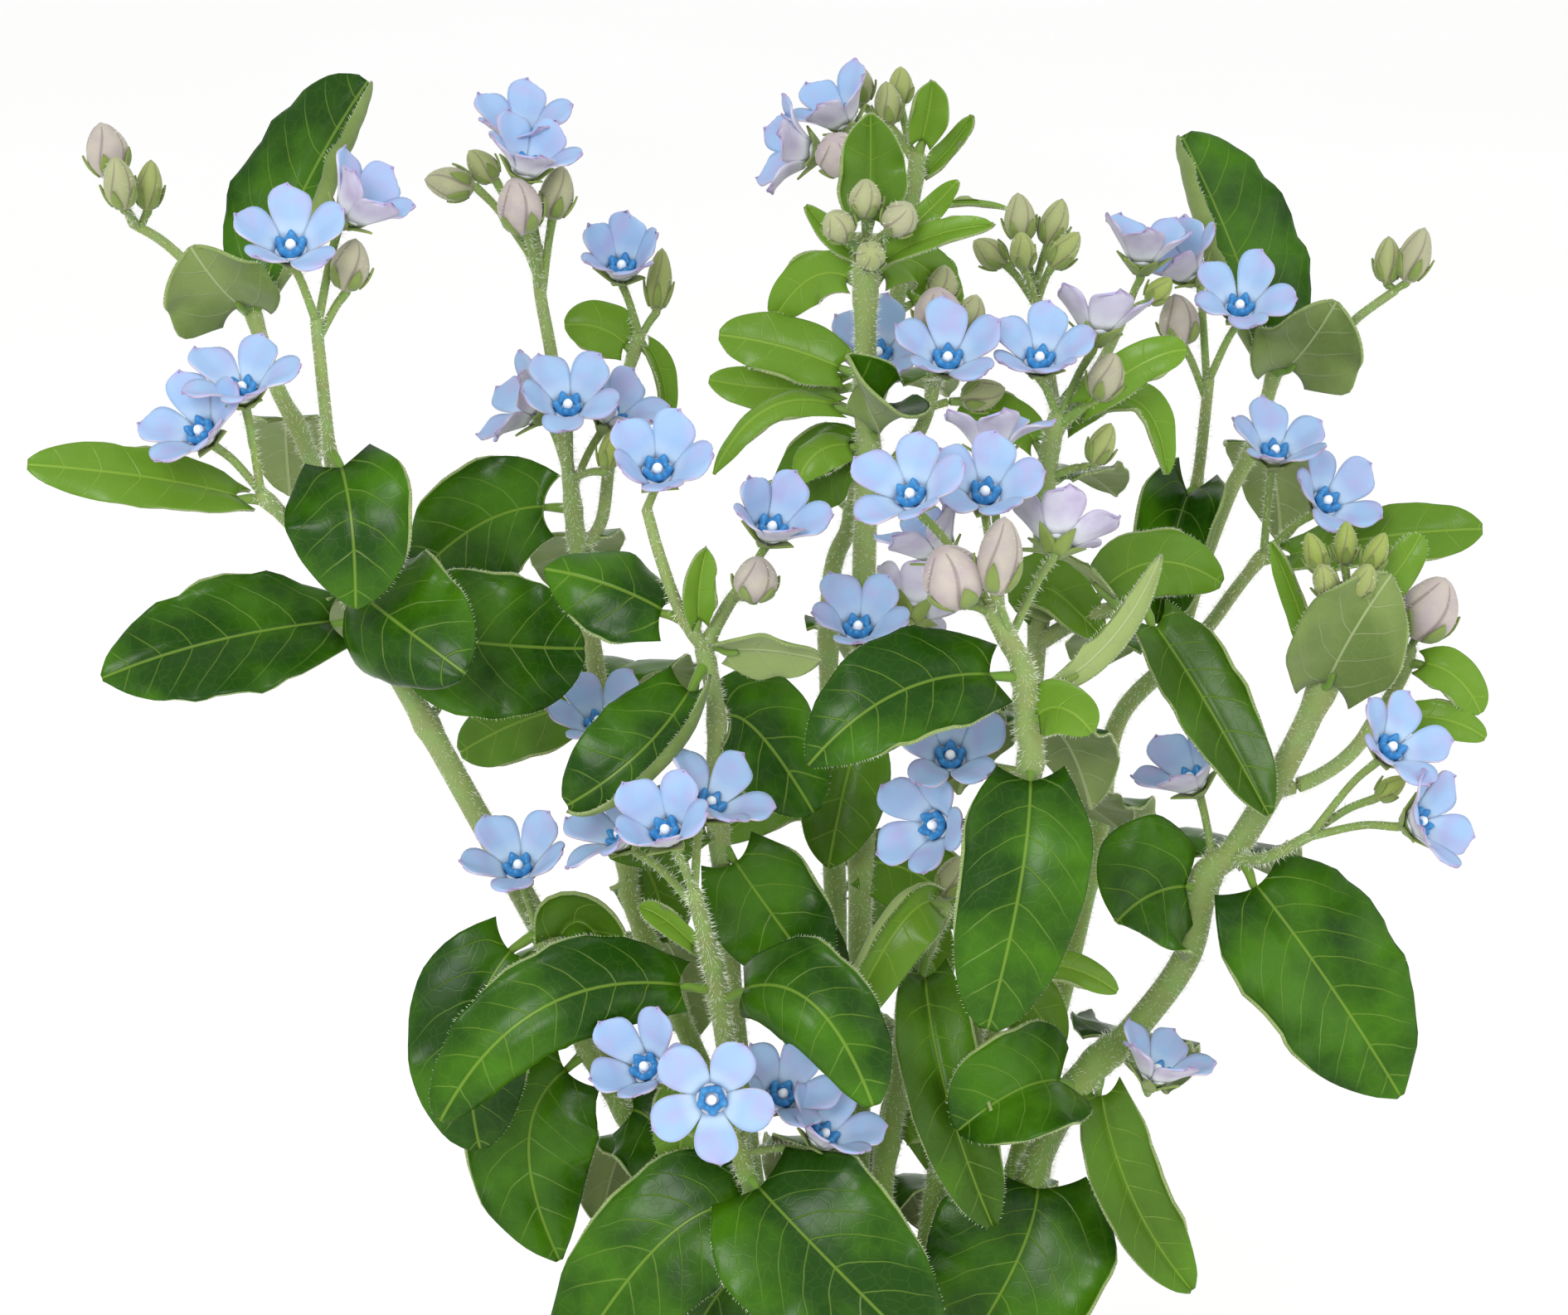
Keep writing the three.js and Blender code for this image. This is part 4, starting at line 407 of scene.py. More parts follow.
      [1.2, 1.0, [[40, 210, -10], [39, 215, 2], [37, 228, 14], [35, 237, 14]]],
      [1.7, 1.3, [[36, 164, -10], [47, 170, -17], [57.5, 171, -22]]],
      [1.2, 1.0, [[40, 210, -10], [48, 219, 17], [54, 231, 31]]],
    ],
    "leaves": [
      [[40, 207], [55, 219, -4], [66, 223, -4], 9, [0, 0.4, 0.9], [0, 0.3, 0.9], "flat"],
      [[39.5, 207], [55, 213, 6], [62, 198, 6], 9.5, [0.2, 0.7, 0.7], [0.5, 0.4, 0.8], "trough"],
      [[39, 204], [46, 213, 12], [53, 214, 16], 9, [0, 0.4, 0.9], [0, 0.3, 0.9], "flat"],
      [[38, 200], [30, 210, 8], [20, 209, 12], 9, [0, 0.4, 0.9], [0, 0.3, 0.9], "flat"],
      [[52, 171], [44, 180, -8], [32, 183, -14], 5, [0, 1, 0], [0, 0.9, -0.3], "flat"],
      [[37, 168], [38, 175, -6], [49, 165, -8], 15, [0.1, 0.6, 0.8], [0.2, 0.4, 0.9], "trough"],
      [[45, 169.5], [58, 180, 4], [73, 176, 8], 15, [0, 0.6, 0.8], [0.1, 0.5, 0.8], "flat"],
      [[57, 171], [68, 155, -8], [82.5, 129.5, -18], 19, [0.3, 0.5, 0.8], [0.3, 0.2, 0.9], "trough"],
      [[37.5, 195], [44, 199, 16], [52, 194, 30], 18, [0, 1, 0], [0.2, 0.8, -0.6], "heart"],
      [[35, 150], [27, 150, 16], [20, 134, 28], 22, [0, 1, 0], [-0.2, 0.8, -0.6], "heart"],
      [[33, 132], [42, 134, 14], [54, 126, 28], 22, [0.1, 1, 0], [0.3, 0.8, -0.5], "heart"],
      [[22, 80], [14, 86, 16], [8, 71, 28], 24, [0.1, 1, 0], [0.2, 0.8, -0.6], "heart"],
    ],
    "blooms": [
      ["bloom_22", [36.5, 220.8, -7.7], [0, 1, 0.6], 0.62, [40, 210]],
      ["bloom_23", [48, 227.1, 3.2], [0.2, 0.9, -0.3], 0.67, [40, 210]],
      ["bloom_24", [57.2, 241.4, 0], [0.1, 0.95, 0], 0.8, [54, 231]],
    ],
    "buds": [
      [[50, 217.5, -3], [0.3, 1, 0.1], 10, 7, [40, 210]],
      [[32.5, 249.5, 0], [-0.1, 1, 0], 10, 6, [35, 237]],
      [[39.5, 248.5, 2], [0.3, 1, 0], 10, 5.5, [35, 237]],
      [[41.5, 243, -4], [0.6, 0.8, 0], 9, 5, [35, 237]],
      [[26.5, 242.5, 0], [-0.8, 0.6, 0], 8, 5.5, [35, 237]],
      [[33, 243, -6], [-0.1, 1, 0.3], 8, 5, [35, 237]],
      [[60.5, 235, -6], [0.6, 0.7, 0.2], 7, 4.5, [54, 231]],
      [[49, 204, -2], [0.4, 1, 0], 9, 5, [38, 198]],
    ],
  },
  {
    "name": "stem_right_back", "root": [18, 10],
    "stalks": [
      [2.2, 1.8, [[40, 90, 36], [48, 125, 50], [52, 148, 54], [63.5, 161, 51]]],
      [1.5, 1.2, [[63.5, 161, 51], [70, 167, 46], [76, 175, 41], [81.5, 182, 36]]],
      [1.7, 1.4, [[63.5, 161, 51], [68.5, 178, 54], [74.5, 194, 58], [79.5, 204, 60], [83.5, 218, 61]]],
      [1.2, 1.1, [[67.5, 174, 54], [67.5, 190, 44], [69, 203, 39], [70.5, 217, 36]]],
      [1.0, 0.9, [[83.5, 218, 61], [95, 224.5, 61], [101, 230, 60], [108, 235, 60]]],
    ],
    "leaves": [
      [[83.5, 219], [75.5, 243, 4], [65, 266, 8], 30, [0.3, 0.1, 1], [0.5, 0.3, 0.8], "rim_left"],
      [[84, 218], [90, 224, -8], [96, 233, -12], 25, [-0.1, 0.5, -0.9], [-0.1, 0.2, -1], "saddle"],
      [[80.5, 180], [103, 185, -4], [125.5, 187, -6], 15, [0, 0.9, 0.4], [0, 0.4, 0.9], "flat"],
      [[67.5, 196], [64, 187, -10], [60, 168, -12], 26, [0, 0.6, 0.8], [0, 0, 1], "cup"],
      [[78, 202], [83, 201, 12], [85, 184, 24], 19, [0.1, 1, 0], [0.2, 0.8, -0.5], "heart"],
      [[63, 161], [54, 166, 16], [46, 158, 34], 22, [0, 1, 0], [-0.2, 0.8, -0.6], "heart"],
      [[49, 130], [50, 132, 14], [54, 121, 28], 20, [0.1, 1, 0], [0.2, 0.8, -0.5], "heart"],
      [[46, 116], [36, 116, 18], [28, 102, 34], 24, [0, 1, 0], [-0.2, 0.8, -0.6], "heart"],
      [[29, 56], [29, 56, 20], [33, 40, 36], 24, [0.2, 1, 0], [0.3, 0.8, -0.6], "heart"],
      [[24, 34], [32, 34, 12], [40, 22, 24], 22, [0.2, 1, 0], [0.4, 0.8, -0.3], "flat"],
    ],
    "blooms": [
      ["bloom_25", [76.7, 231.4, -4.5], [0, 0.98, 0.7], 0.56, [70.5, 217]],
      ["bloom_26", [66.5, 238.9, 8.6], [-0.5, 0.7, 0.2], 0.72, [70.5, 217]],
      ["bloom_27", [83.7, 202.1, -7.1], [0.1, 0.9, 0.35], 0.62, [81.5, 182]],
      ["bloom_28", [93.9, 192.3, -6.4], [0.5, 0.78, 0.7], 0.62, [81.5, 182]],
    ],
    "buds": [
      [[64.5, 229, -2], [-0.2, 1, 0.1], 11, 8, [70.5, 217]],
      [[106.5, 241, 1], [0, 1, 0], 10, 5.5, [108, 235]],
      [[112, 242, -1], [0.3, 1, 0], 12, 6.5, [108, 235]],
    ],
  },
  {
    "name": "stem_right", "root": [23, -20],
    "stalks": [
      [2.9, 2.4, [[33, 50, -25], [44, 75, -34], [55, 86, -29], [66, 101, -28], [70, 117, -26], [76, 123, -25],
        [85, 138, -22], [92, 152, -20], [100, 170, -20]]],
      [1.5, 1.3, [[83, 134, -22], [92, 137, -20], [100, 143, -17], [108, 155, -14], [111, 163, -14]]],
      [1.2, 1.0, [[74, 121, -25], [82, 121, -33], [91, 125.5, -39]]],
    ],
    "leaves": [
      [[77, 119], [93, 98, -8], [109, 73, -10], 35, [0.2, 0.5, 0.8], [0.2, 0.2, 0.9], "heart"],
      [[69, 115], [60, 114, -8], [52, 108, -14], 31, [-0.1, 0.2, 1], [-0.3, 0.2, 0.9], "heart"],
      [[93, 153], [98, 164, -6], [107, 178, -4], 25, [0.1, 0.4, -0.9], [0.1, 0.2, -1], "saddle"],
      [[93, 155], [89, 170, 3], [83, 184.5, 4], 6, [-0.5, 0.3, 0.8], [-0.5, 0.2, 0.8], "trough"],
      [[100, 169], [108, 178, 6], [113, 186, 8], 8, [0, 0.3, 0.9], [0, 0.2, 1], "flat"],
      [[110, 160], [119, 158, -4], [125, 150, -4], 10, [0, 0.6, 0.8], [0.2, 0.4, 0.9], "flat"],
      [[104, 148], [116, 149, -4], [126, 145, -4], 8, [0, 0.6, 0.8], [0.2, 0.4, 0.9], "flat"],
      [[44, 75], [34, 75, -14], [20, 66, -19], 27, [0, 0.6, 0.8], [-0.1, 0.5, 0.85], "trough"],
      [[48, 80], [54, 55, -4], [67, 34, -4], 17, [0.2, 0.4, 0.9], [0.3, 0.2, 0.9], "trough"],
      [[36, 58], [32, 40, -9], [16, 14, -12], 38, [0.1, 0.5, 0.85], [0, 0.3, 0.9], "heart"],
      [[70, 117], [76, 124, 16], [86, 116, 34], 24, [0.1, 1, 0], [0.3, 0.8, -0.5], "heart"],
      [[51, 82], [56, 85, 18], [62, 74, 38], 26, [0.1, 1, 0], [0.3, 0.8, -0.5], "heart"],
      [[26, 16], [42, 16, 4], [58, 0, 8], 26, [0, 1, 0.2], [0.4, 0.8, 0.2], "heart"],
    ],
    "blooms": [
      ["bloom_29", [106.8, 142.7, -3.6], [0.5, 0.78, 0.6], 0.62, [91, 125.5]],
      ["bloom_29", [112.4, 128.1, -6.8], [0.85, 0.38, 0.5], 0.62, [91, 125.5]],
      ["bloom_30", [67.1, 136.3, 3.8], [-0.4, 0.8, 0.3], 0.8, [72, 119]],
      ["bloom_31", [59.7, 77.5, -11.7], [0.3, 0.9, 0.1], 0.67, [54, 85]],
    ],
    "buds": [
      [[115, 171, 0], [0.35, 0.9, 0.2], 14, 11, [111, 163]],
      [[107, 135, 2], [0.8, 0.6, 0], 7, 4, [91, 125.5]],
      [[98, 184, 2], [0, 1, 0], 9, 4.5, [99, 169]],
      [[104, 182, 0], [0.4, 1, 0], 9, 4.5, [99, 169]],
      [[92, 182, 0], [-0.4, 1, 0], 9, 4.5, [99, 169]],
      [[94, 176.5, -6], [-0.3, 0.8, 0.5], 9, 5, [99, 169]],
      [[101.5, 176.5, -6], [0.2, 0.8, 0.5], 9, 5, [99, 169]],
    ],
  },
  {
    "name": "stem_low_right", "root": [4, -22],
    "stalks": [
      [2.4, 2.0, [[4, 30, -21], [5, 57, -26], [8, 75, -28], [11, 97, -30], [17, 111, -34]]],
    ],
    "leaves": [
      [[13, 103], [17, 76, -16], [27, 47, -18], 19, [0.2, 0.2, 1], [0.2, 0, 1], "trough"],
      [[17, 111], [9, 108, -9], [-3, 86, -10], 14, [0, 0.4, 0.9], [0, 0.3, 0.9], "rim_right"],
      [[6, 62], [12, 70, 4], [16, 56, 6], 13, [0, 0.5, 0.9], [0.1, 0.3, 0.9], "heart"],
      [[4, 14], [7, 14, -16], [10, -2, -30], 23, [0, 1, 0.3], [0.2, 0.7, 0.7], "heart"],
    ],
    "blooms": [],
    "buds": [
      [[19, 117, 3], [0.3, 0.9, 0], 9, 6, [17, 111]],
    ],
  },
  {
    "name": "stem_low_left", "root": [-17, -20],
    "stalks": [
      [2.2, 1.4, [[-22, 50, -34], [-28, 92, -57], [-30, 102, -62], [-33, 114, -68]]],
    ],
    "leaves": [
      [[-28.5, 94], [-61, 92, -12], [-84, 68, -14], 23, [0, 0.7, 0.7], [-0.2, 0.5, 0.8], "curl_left"],
      [[-28, 92], [-11, 93, -16], [3, 71, -19], 24, [0, 0.7, 0.7], [0.2, 0.4, 0.9], "curl_right"],
      [[-30, 100], [-38, 108, 6], [-44, 111, 8], 6, [0, 0.4, 0.9], [0, 0.3, 0.9], "trough"],
    ],
    "blooms": [
      ["bloom_32", [-30, 131.4, 2.6], [0.4, 0.8, 0.3], 0.62, [-33, 114]],
      ["bloom_33", [-38.5, 126, -9], [-0.3, 0.88, 0.7], 0.85, [-33, 114]],
      ["bloom_34", [-47.4, 125, 12.7], [-0.7, 0.88, 0.3], 0.62, [-33, 114]],
    ],
    "buds": [],
  },
  {
    "name": "stem_low_front", "root": [-6, -30],
    "stalks": [
      [2.0, 1.4, [[-14, 30, -49], [-22, 56, -62], [-26, 67, -65]]],
    ],
    "leaves": [
      [[-22, 57], [-8, 42, -10], [18, 16, -14], 38, [0.1, 0.5, 0.9], [0.1, 0.3, 0.9], "heart"],
      [[-20, 50], [-38, 45, -4], [-60, 15, -6], 29, [-0.1, 0.5, 0.9], [-0.2, 0.3, 0.9], "flat"],
      [[-16, 38], [-24, 38, 6], [-36, 20, 8], 22, [-0.1, 0.5, 0.9], [-0.1, 0.3, 0.9], "heart"],
      [[-24, 62], [-33, 72, 8], [-36, 56, 8], 15, [-0.2, 0.4, 0.9], [-0.1, 0.2, 1], "flat"],
      [[-9, 12], [-18, 13, -14], [-26, 0, -28], 26, [0, 1, 0.3], [-0.2, 0.7, 0.7], "heart"],
    ],
    "blooms": [
      ["bloom_35", [-42.6, 78.6, -7.5], [-0.4, 0.73, 0.8], 0.67, [-26, 67]],
      ["bloom_36", [-29.4, 72.5, -17], [0, 0.18, 1], 0.31, [-26, 67]],
      ["bloom_37", [-15.4, 73, 7.5], [0.3, 0.68, 0.5], 0.67, [-26, 67]],
      ["bloom_37", [-7.2, 64.8, 5.7], [0.5, 0.88, 0.3], 0.67, [-26, 67]],
    ],
    "buds": [],
  },
  {
    "name": "stem_low_far_left", "root": [-27, -12],
    "stalks": [
      [2.1, 1.4, [[-38, 50, -23], [-56, 85, -35], [-64.5, 106, -41]]],
    ],
    "leaves": [
      [[-66, 106], [-77, 88, -6], [-76, 62.5, -8], 27, [-0.1, 0.3, 1], [0, 0.1, 1], "flat"],
      [[-62, 100], [-56, 108, -4], [-49, 98, -4], 18, [0, 0.5, 0.8], [0.2, 0.3, 0.9], "cup"],
      [[-54, 81], [-66, 66, -4], [-60, 40, -6], 28, [-0.1, 0.4, 0.9], [0, 0.2, 1], "heart"],
      [[-62, 100], [-74, 98, 8], [-82, 84, 16], 20, [-0.1, 1, 0], [-0.3, 0.8, -0.5], "heart"],
      [[-48, 70], [-40, 66, -4], [-34, 48, -4], 22, [0.1, 0.4, 0.9], [0.1, 0.2, 0.9], "heart"],
      [[-30, 20], [-48, 24, 2], [-66, 10, 6], 26, [0, 1, 0.2], [-0.4, 0.8, 0.2], "heart"],
    ],
    "blooms": [
      ["bloom_38", [-68.2, 118.8, -2.7], [-0.1, 0.85, 0.5], 0.62, [-64.5, 106]],
    ],
    "buds": [],
  },
]

# Viewing frame
RIGHT = Vector((1, 0, 0))
SIGHT = Vector((0, math.cos(VIEW_ELEVATION), -math.sin(VIEW_ELEVATION)))
RISE = Vector((0, math.sin(VIEW_ELEVATION), math.cos(VIEW_ELEVATION)))
EYE = CROWN + VIEW_AIM[0] * RIGHT + VIEW_AIM[1] * RISE - VIEW_DISTANCE * SIGHT

Spot = namedtuple("Spot", "point margin tone")
Hair = namedtuple("Hair", "foot direction length")
rand = random.Random(11)


def place(mark):
    """The point seen at [u, v] in the layout plane that lies `back` behind the pot's axis."""
    u, v, back = mark
    ray = VIEW_DISTANCE * SIGHT + (u - VIEW_AIM[0]) * RIGHT + (v - VIEW_AIM[1]) * RISE
    return EYE + ray * ((back - EYE.y) / ray.y)


def seen_at(point):
    """The layout's [u, v, back] of a point, the inverse of place."""
    offset = point - EYE
    reach = offset.dot(SIGHT) / VIEW_DISTANCE
    return [VIEW_AIM[0] + offset.dot(RIGHT) / reach, VIEW_AIM[1] + offset.dot(RISE) / reach, point.y]


def facing(direction):
    """A facing given as [right, up, towards the viewer]."""
    to_right, up, near = direction
    return Vector((to_right, -near, up)).normalized()


def square_to(axis, start):
    """The part of start that is square to the axis, one long."""
    return (start - axis * start.dot(axis)).normalized()


def cross_axes(axis):
    """Two directions square to an axis and to each other."""
    start = Vector((0, 0, 1)) if abs(axis.z) < 0.9 else Vector((0, 1, 0))
    first = square_to(axis, start)
    return first, axis.cross(first)


def around(first, second, turn):
    """The direction at a turn between two directions that are square to each other."""
    return first * math.cos(turn) + second * math.sin(turn)


def smooth_path(points, steps):
    """Uniform Catmull-Rom curve, sampled `steps` times between each two points."""
    ends = [2 * points[0] - points[1], *points, 2 * points[-1] - points[-2]]
    samples = []
    for before, start, end, after in zip(ends, ends[1:], ends[2:], ends[3:]):
        out, home = (end - before) / 2, (after - start) / 2
        for step in range(steps):
            t = step / steps
            samples.append(
                start + out * t + (3 * (end - start) - 2 * out - home) * t**2
                + (2 * (start - end) + out + home) * t**3
            )
    return [*samples, points[-1].copy()]


def nearest(stalk_points, foot):
    """Layout point of the stem that is seen nearest to [u, v]."""
    return min(stalk_points, key=lambda point: math.hypot(point[0] - foot[0], point[1] - foot[1]))


# Meshes
def new_mesh():
    """An empty bmesh with the layers that the finishes read."""
    bm = bmesh.new()
    bm.loops.layers.uv.new("surface")
    for name in ("margin", "tone"):
        bm.verts.layers.float.new(name)
    return bm


def grid(columns, rows, shape, finish):
    """A sheet whose vertex at (across, along), each from 0 to 1, goes to the Spot that shape gives."""
    bm = new_mesh()
    bmesh.ops.create_grid(bm, x_segments=columns, y_segments=rows, size=0.5)
    surface = bm.loops.layers.uv["surface"]
    margin, tone = bm.verts.layers.float["margin"], bm.verts.layers.float["tone"]
    for face in bm.faces:
        face.smooth = True
        face.material_index = finish
        for loop in face.loops:
            loop[surface].uv = (loop.vert.co.x + 0.5, loop.vert.co.y + 0.5)
    for vert in bm.verts:
        spot = shape(vert.co.x + 0.5, vert.co.y + 0.5)
        vert.co, vert[margin], vert[tone] = spot.point, spot.margin, spot.tone
    return bm


def thicken(bm, thickness, under, edge):
    """Gives a sheet its thickness downwards, with finishes of their own for the underside and the edge."""
    count = len(bm.faces)
    bm.normal_update()
    below = [vert.co - vert.normal * thickness for vert in bm.verts]
    number = bm.verts.layers.int.new("number")
    for index, vert in enumerate(bm.verts):
        vert[number] = index
    bmesh.ops.solidify(bm, geom=bm.faces[:], thickness=thickness)
    for vert in bm.verts[len(below):]:
        vert.co = below[vert[number]]
    bm.verts.layers.int.remove(number)
    for index, face in enumerate(bm.faces):
        face.smooth = True
        if index >= count:
            face.material_index = under if index < 2 * count else edge
    return bm


def seal(bm):
    """Closes the seam and the ends of a grid that was rolled into a tube, and turns its faces outwards."""
    bmesh.ops.remove_doubles(bm, verts=bm.verts[:], dist=1e-4)
    open_edges = [edge for edge in bm.edges if edge.is_boundary]
    bmesh.ops.holes_fill(bm, edges=open_edges)
    bmesh.ops.recalc_face_normals(bm, faces=bm.faces[:])
    return bm


def tube(path, radii, sides, finish, tone):
    """A closed round stalk through the points, with its own radius and tone at each."""
    end = len(path) - 1
    frames = []
    for i, point in enumerate(path):
        along = (path[min(i + 1, end)] - path[max(i - 1, 0)]).normalized()
        first = square_to(along, RIGHT if abs(along.x) < 0.95 else RISE)
        frames.append((point, first, along.cross(first)))

    def shape(across, along):
        i = round(along * end)
        point, first, second = frames[i]
        return Spot(point + radii[i] * around(first, second, 2 * math.pi * across), 1, tone[i])

    return seal(grid(sides, end, shape, finish))


def copies(template, places):
    """One mesh with a copy of the template at each of the places, given as matrices."""
    bm = template.copy()
    number = bm.verts.layers.int.new("number")
    made = 1
    while made < len(places):
        extra = bmesh.ops.duplicate(bm, geom=bm.verts[:] + bm.edges[:] + bm.faces[:])["geom"]
        for vert in extra:
            if isinstance(vert, bmesh.types.BMVert):
                vert[number] += made
        made *= 2
    spare = [vert for vert in bm.verts if vert[number] >= len(places)]
    bmesh.ops.delete(bm, geom=spare, context="VERTS")
    for vert in bm.verts:
        vert.co = places[vert[number]] @ vert.co
    return bm


def lay_along(foot, direction, width, length):
    """The matrix that sets a shape one wide and one high on its foot, pointing in the direction."""
    turn = direction.to_track_quat("Z", "Y").to_matrix().to_4x4()
    return Matrix.Translation(foot) @ turn @ Matrix.Diagonal((width, width, length, 1))


def finish_piece(name, parts, finishes, node):
    """Joins the parts into one piece in metres, which stands for the node and rides on the root."""
    whole = new_mesh()
    for part in parts:
        mesh = bpy.data.meshes.new("part")
        part.to_mesh(mesh)
        part.free()
        whole.from_mesh(mesh)
        bpy.data.meshes.remove(mesh)
    bmesh.ops.scale(whole, vec=(METRE, METRE, METRE), verts=whole.verts[:])
    # The few leaf margins and hair tips that would pass the solids' box are held at its sides
    for vert in whole.verts:
        vert.co = [min(max(c, low), high) for c, low, high in zip(vert.co, *cad_box)]
    mesh = bpy.data.meshes.new(name)
    whole.to_mesh(mesh)
    whole.free()
    for finish in finishes:
        mesh.materials.append(finish)
    piece = bpy.data.objects.new(name, mesh)
    bpy.context.scene.collection.objects.link(piece)
    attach(piece, "root")
    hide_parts(node)
    return piece


# Leaves
def blade_share(s, bluntness):
    """Half width along a blade, as a share of its widest half."""
    if s < BLADE_WIDEST_AT:
        return BLADE_BASE_SHARE + (1 - BLADE_BASE_SHARE) * math.sin(math.pi / 2 * s / BLADE_WIDEST_AT)
    to_tip = (s - BLADE_WIDEST_AT) / (1 - BLADE_WIDEST_AT)
    return max(0.02, 1 - to_tip**BLADE_ROUNDING) ** bluntness


def across_blade(x, fold, curl, roll):
    """How far out and up a point of the blade lies, and how steeply, at a share x of one half's width."""

    def slope(share):
        return fold + curl * share**2 + roll * share**ROLL_POWER

    out = up = 0
    for k in range(BLADE_ROLL_STEPS):
        out += math.cos(slope((k + 0.5) / BLADE_ROLL_STEPS * x)) * x / BLADE_ROLL_STEPS
        up += math.sin(slope((k + 0.5) / BLADE_ROLL_STEPS * x)) * x / BLADE_ROLL_STEPS
    return out, up, slope(x)


class Leaf:
    """The leaf named by one line of the plan, growing from the nearest point of its stem."""

    def __init__(self, line, stalk_points, phase):
        foot, middle, tip, width, foot_facing, tip_facing, self.style = line
        anchor = nearest(stalk_points, foot)
        self.base = place([foot[0], foot[1], anchor[2]])
        self.end = place([tip[0], tip[1], anchor[2] + tip[2]])
        half = place([middle[0], middle[1], anchor[2] + middle[2]])
        self.bend = 2 * half - (self.base + self.end) / 2
        self.root = place(anchor)
        marks = [self.rib(k / RIB_SAMPLES) for k in range(RIB_SAMPLES + 1)]
        self.length = sum((b - a).length for a, b in zip(marks, marks[1:]))
        petiole = min(PETIOLE_LENGTH, PETIOLE_SHARE * self.length) - (self.root - self.base).length
        self.bare = max(0, petiole) / self.length
        self.lobe = min(LOBE_REACH * self.length, LOBE_LIMIT)
        self.width = width * (half - EYE).dot(SIGHT) / VIEW_DISTANCE
        self.facings = facing(foot_facing), facing(tip_facing)
        self.phase = phase
        self.youth = 1 - min(1, max(0, (width - BRACT_WIDTH) / (FULL_WIDTH - BRACT_WIDTH)))
        rolls = (MARGIN_ROLL, 0) if math.sin(3.7 * phase) > 0 else (0, MARGIN_ROLL)
        self.rolls = {-1: rolls[0], 1: rolls[1]}

    def rib(self, t):
        """Point of the midrib at t, from the stem (0) to the tip (1)."""
        return (1 - t) ** 2 * self.base + 2 * t * (1 - t) * self.bend + t**2 * self.end

    def run(self, t):
        """Direction of the midrib at t."""
        return ((1 - t) * (self.bend - self.base) + t * (self.end - self.bend)).normalized()

    def at(self, s, x):
        """Point, upward normal and half width at s along the blade and x from margin (-1) to margin (1)."""
        fold_left, fold_right, curl_left, curl_right, wave, bluntness = STYLES[self.style]
        hand = -1 if x < 0 else 1
        t = self.bare + (1 - self.bare) * s
        along = self.run(t)
        up = square_to(along, self.facings[0].lerp(self.facings[1], s))
        side = along.cross(up) * hand
        half = self.width / 2 * blade_share(s, bluntness)
        fold, curl = (fold_left, curl_left) if x < 0 else (fold_right, curl_right)
        roll = self.rolls[hand] * math.sin(math.pi * min(1, s * 1.1)) ** 2
        out, lift, slope = across_blade(abs(x), fold, curl, roll)
        ripple = wave * x * x * math.sin(2 * math.pi * WAVE_COUNT * s + self.phase + hand)
        crinkles = 2 * math.pi * s * self.length / CRINKLE_LENGTH + self.phase * hand
        ripple += CRINKLE * abs(x) ** 3 * (math.sin(crinkles) + 0.6 * math.sin(1.7 * crinkles + 2))
        lobe = self.lobe * x * x * max(0, 1 - s / LOBE_END) ** 2
        point = self.rib(t) + side * half * out + up * half * (lift + ripple) - along * lobe
        normal = up * math.cos(slope) - side * math.sin(slope)
        point += normal * self.pucker(s, abs(x) * half, half)
        return point, normal, half

    def pucker(self, s, out, half):
        """Rise of the blade between its veins, which lie in soft furrows."""
        along = s * self.length * (1 - self.bare)
        row = (along - (VEIN_LEAN + VEIN_ARCH * out) * out) / VEIN_SPACING
        between = 0.5 - 0.5 * math.cos(2 * math.pi * row)
        inside = max(0, 1 - out / max(half, 0.1)) ** 0.5
        grow = 1 - 0.6 * self.youth
        furrow = RIB_GROOVE * math.exp(-((out / 0.9) ** 2))
        return grow * (PUCKER * between * inside * min(1, out / 1.5) - furrow)


def towards_margin(across):
    """Share of the half width, from -1 to 1, with the columns closer together towards the margins."""
    x = 2 * across - 1
    return math.copysign(1 - (1 - abs(x)) ** MARGIN_CROWDING, x)


def towards_tip(along):
    """Share of the length, with the rows closer together towards the tip."""
    return 1 - (1 - along) ** TIP_CROWDING


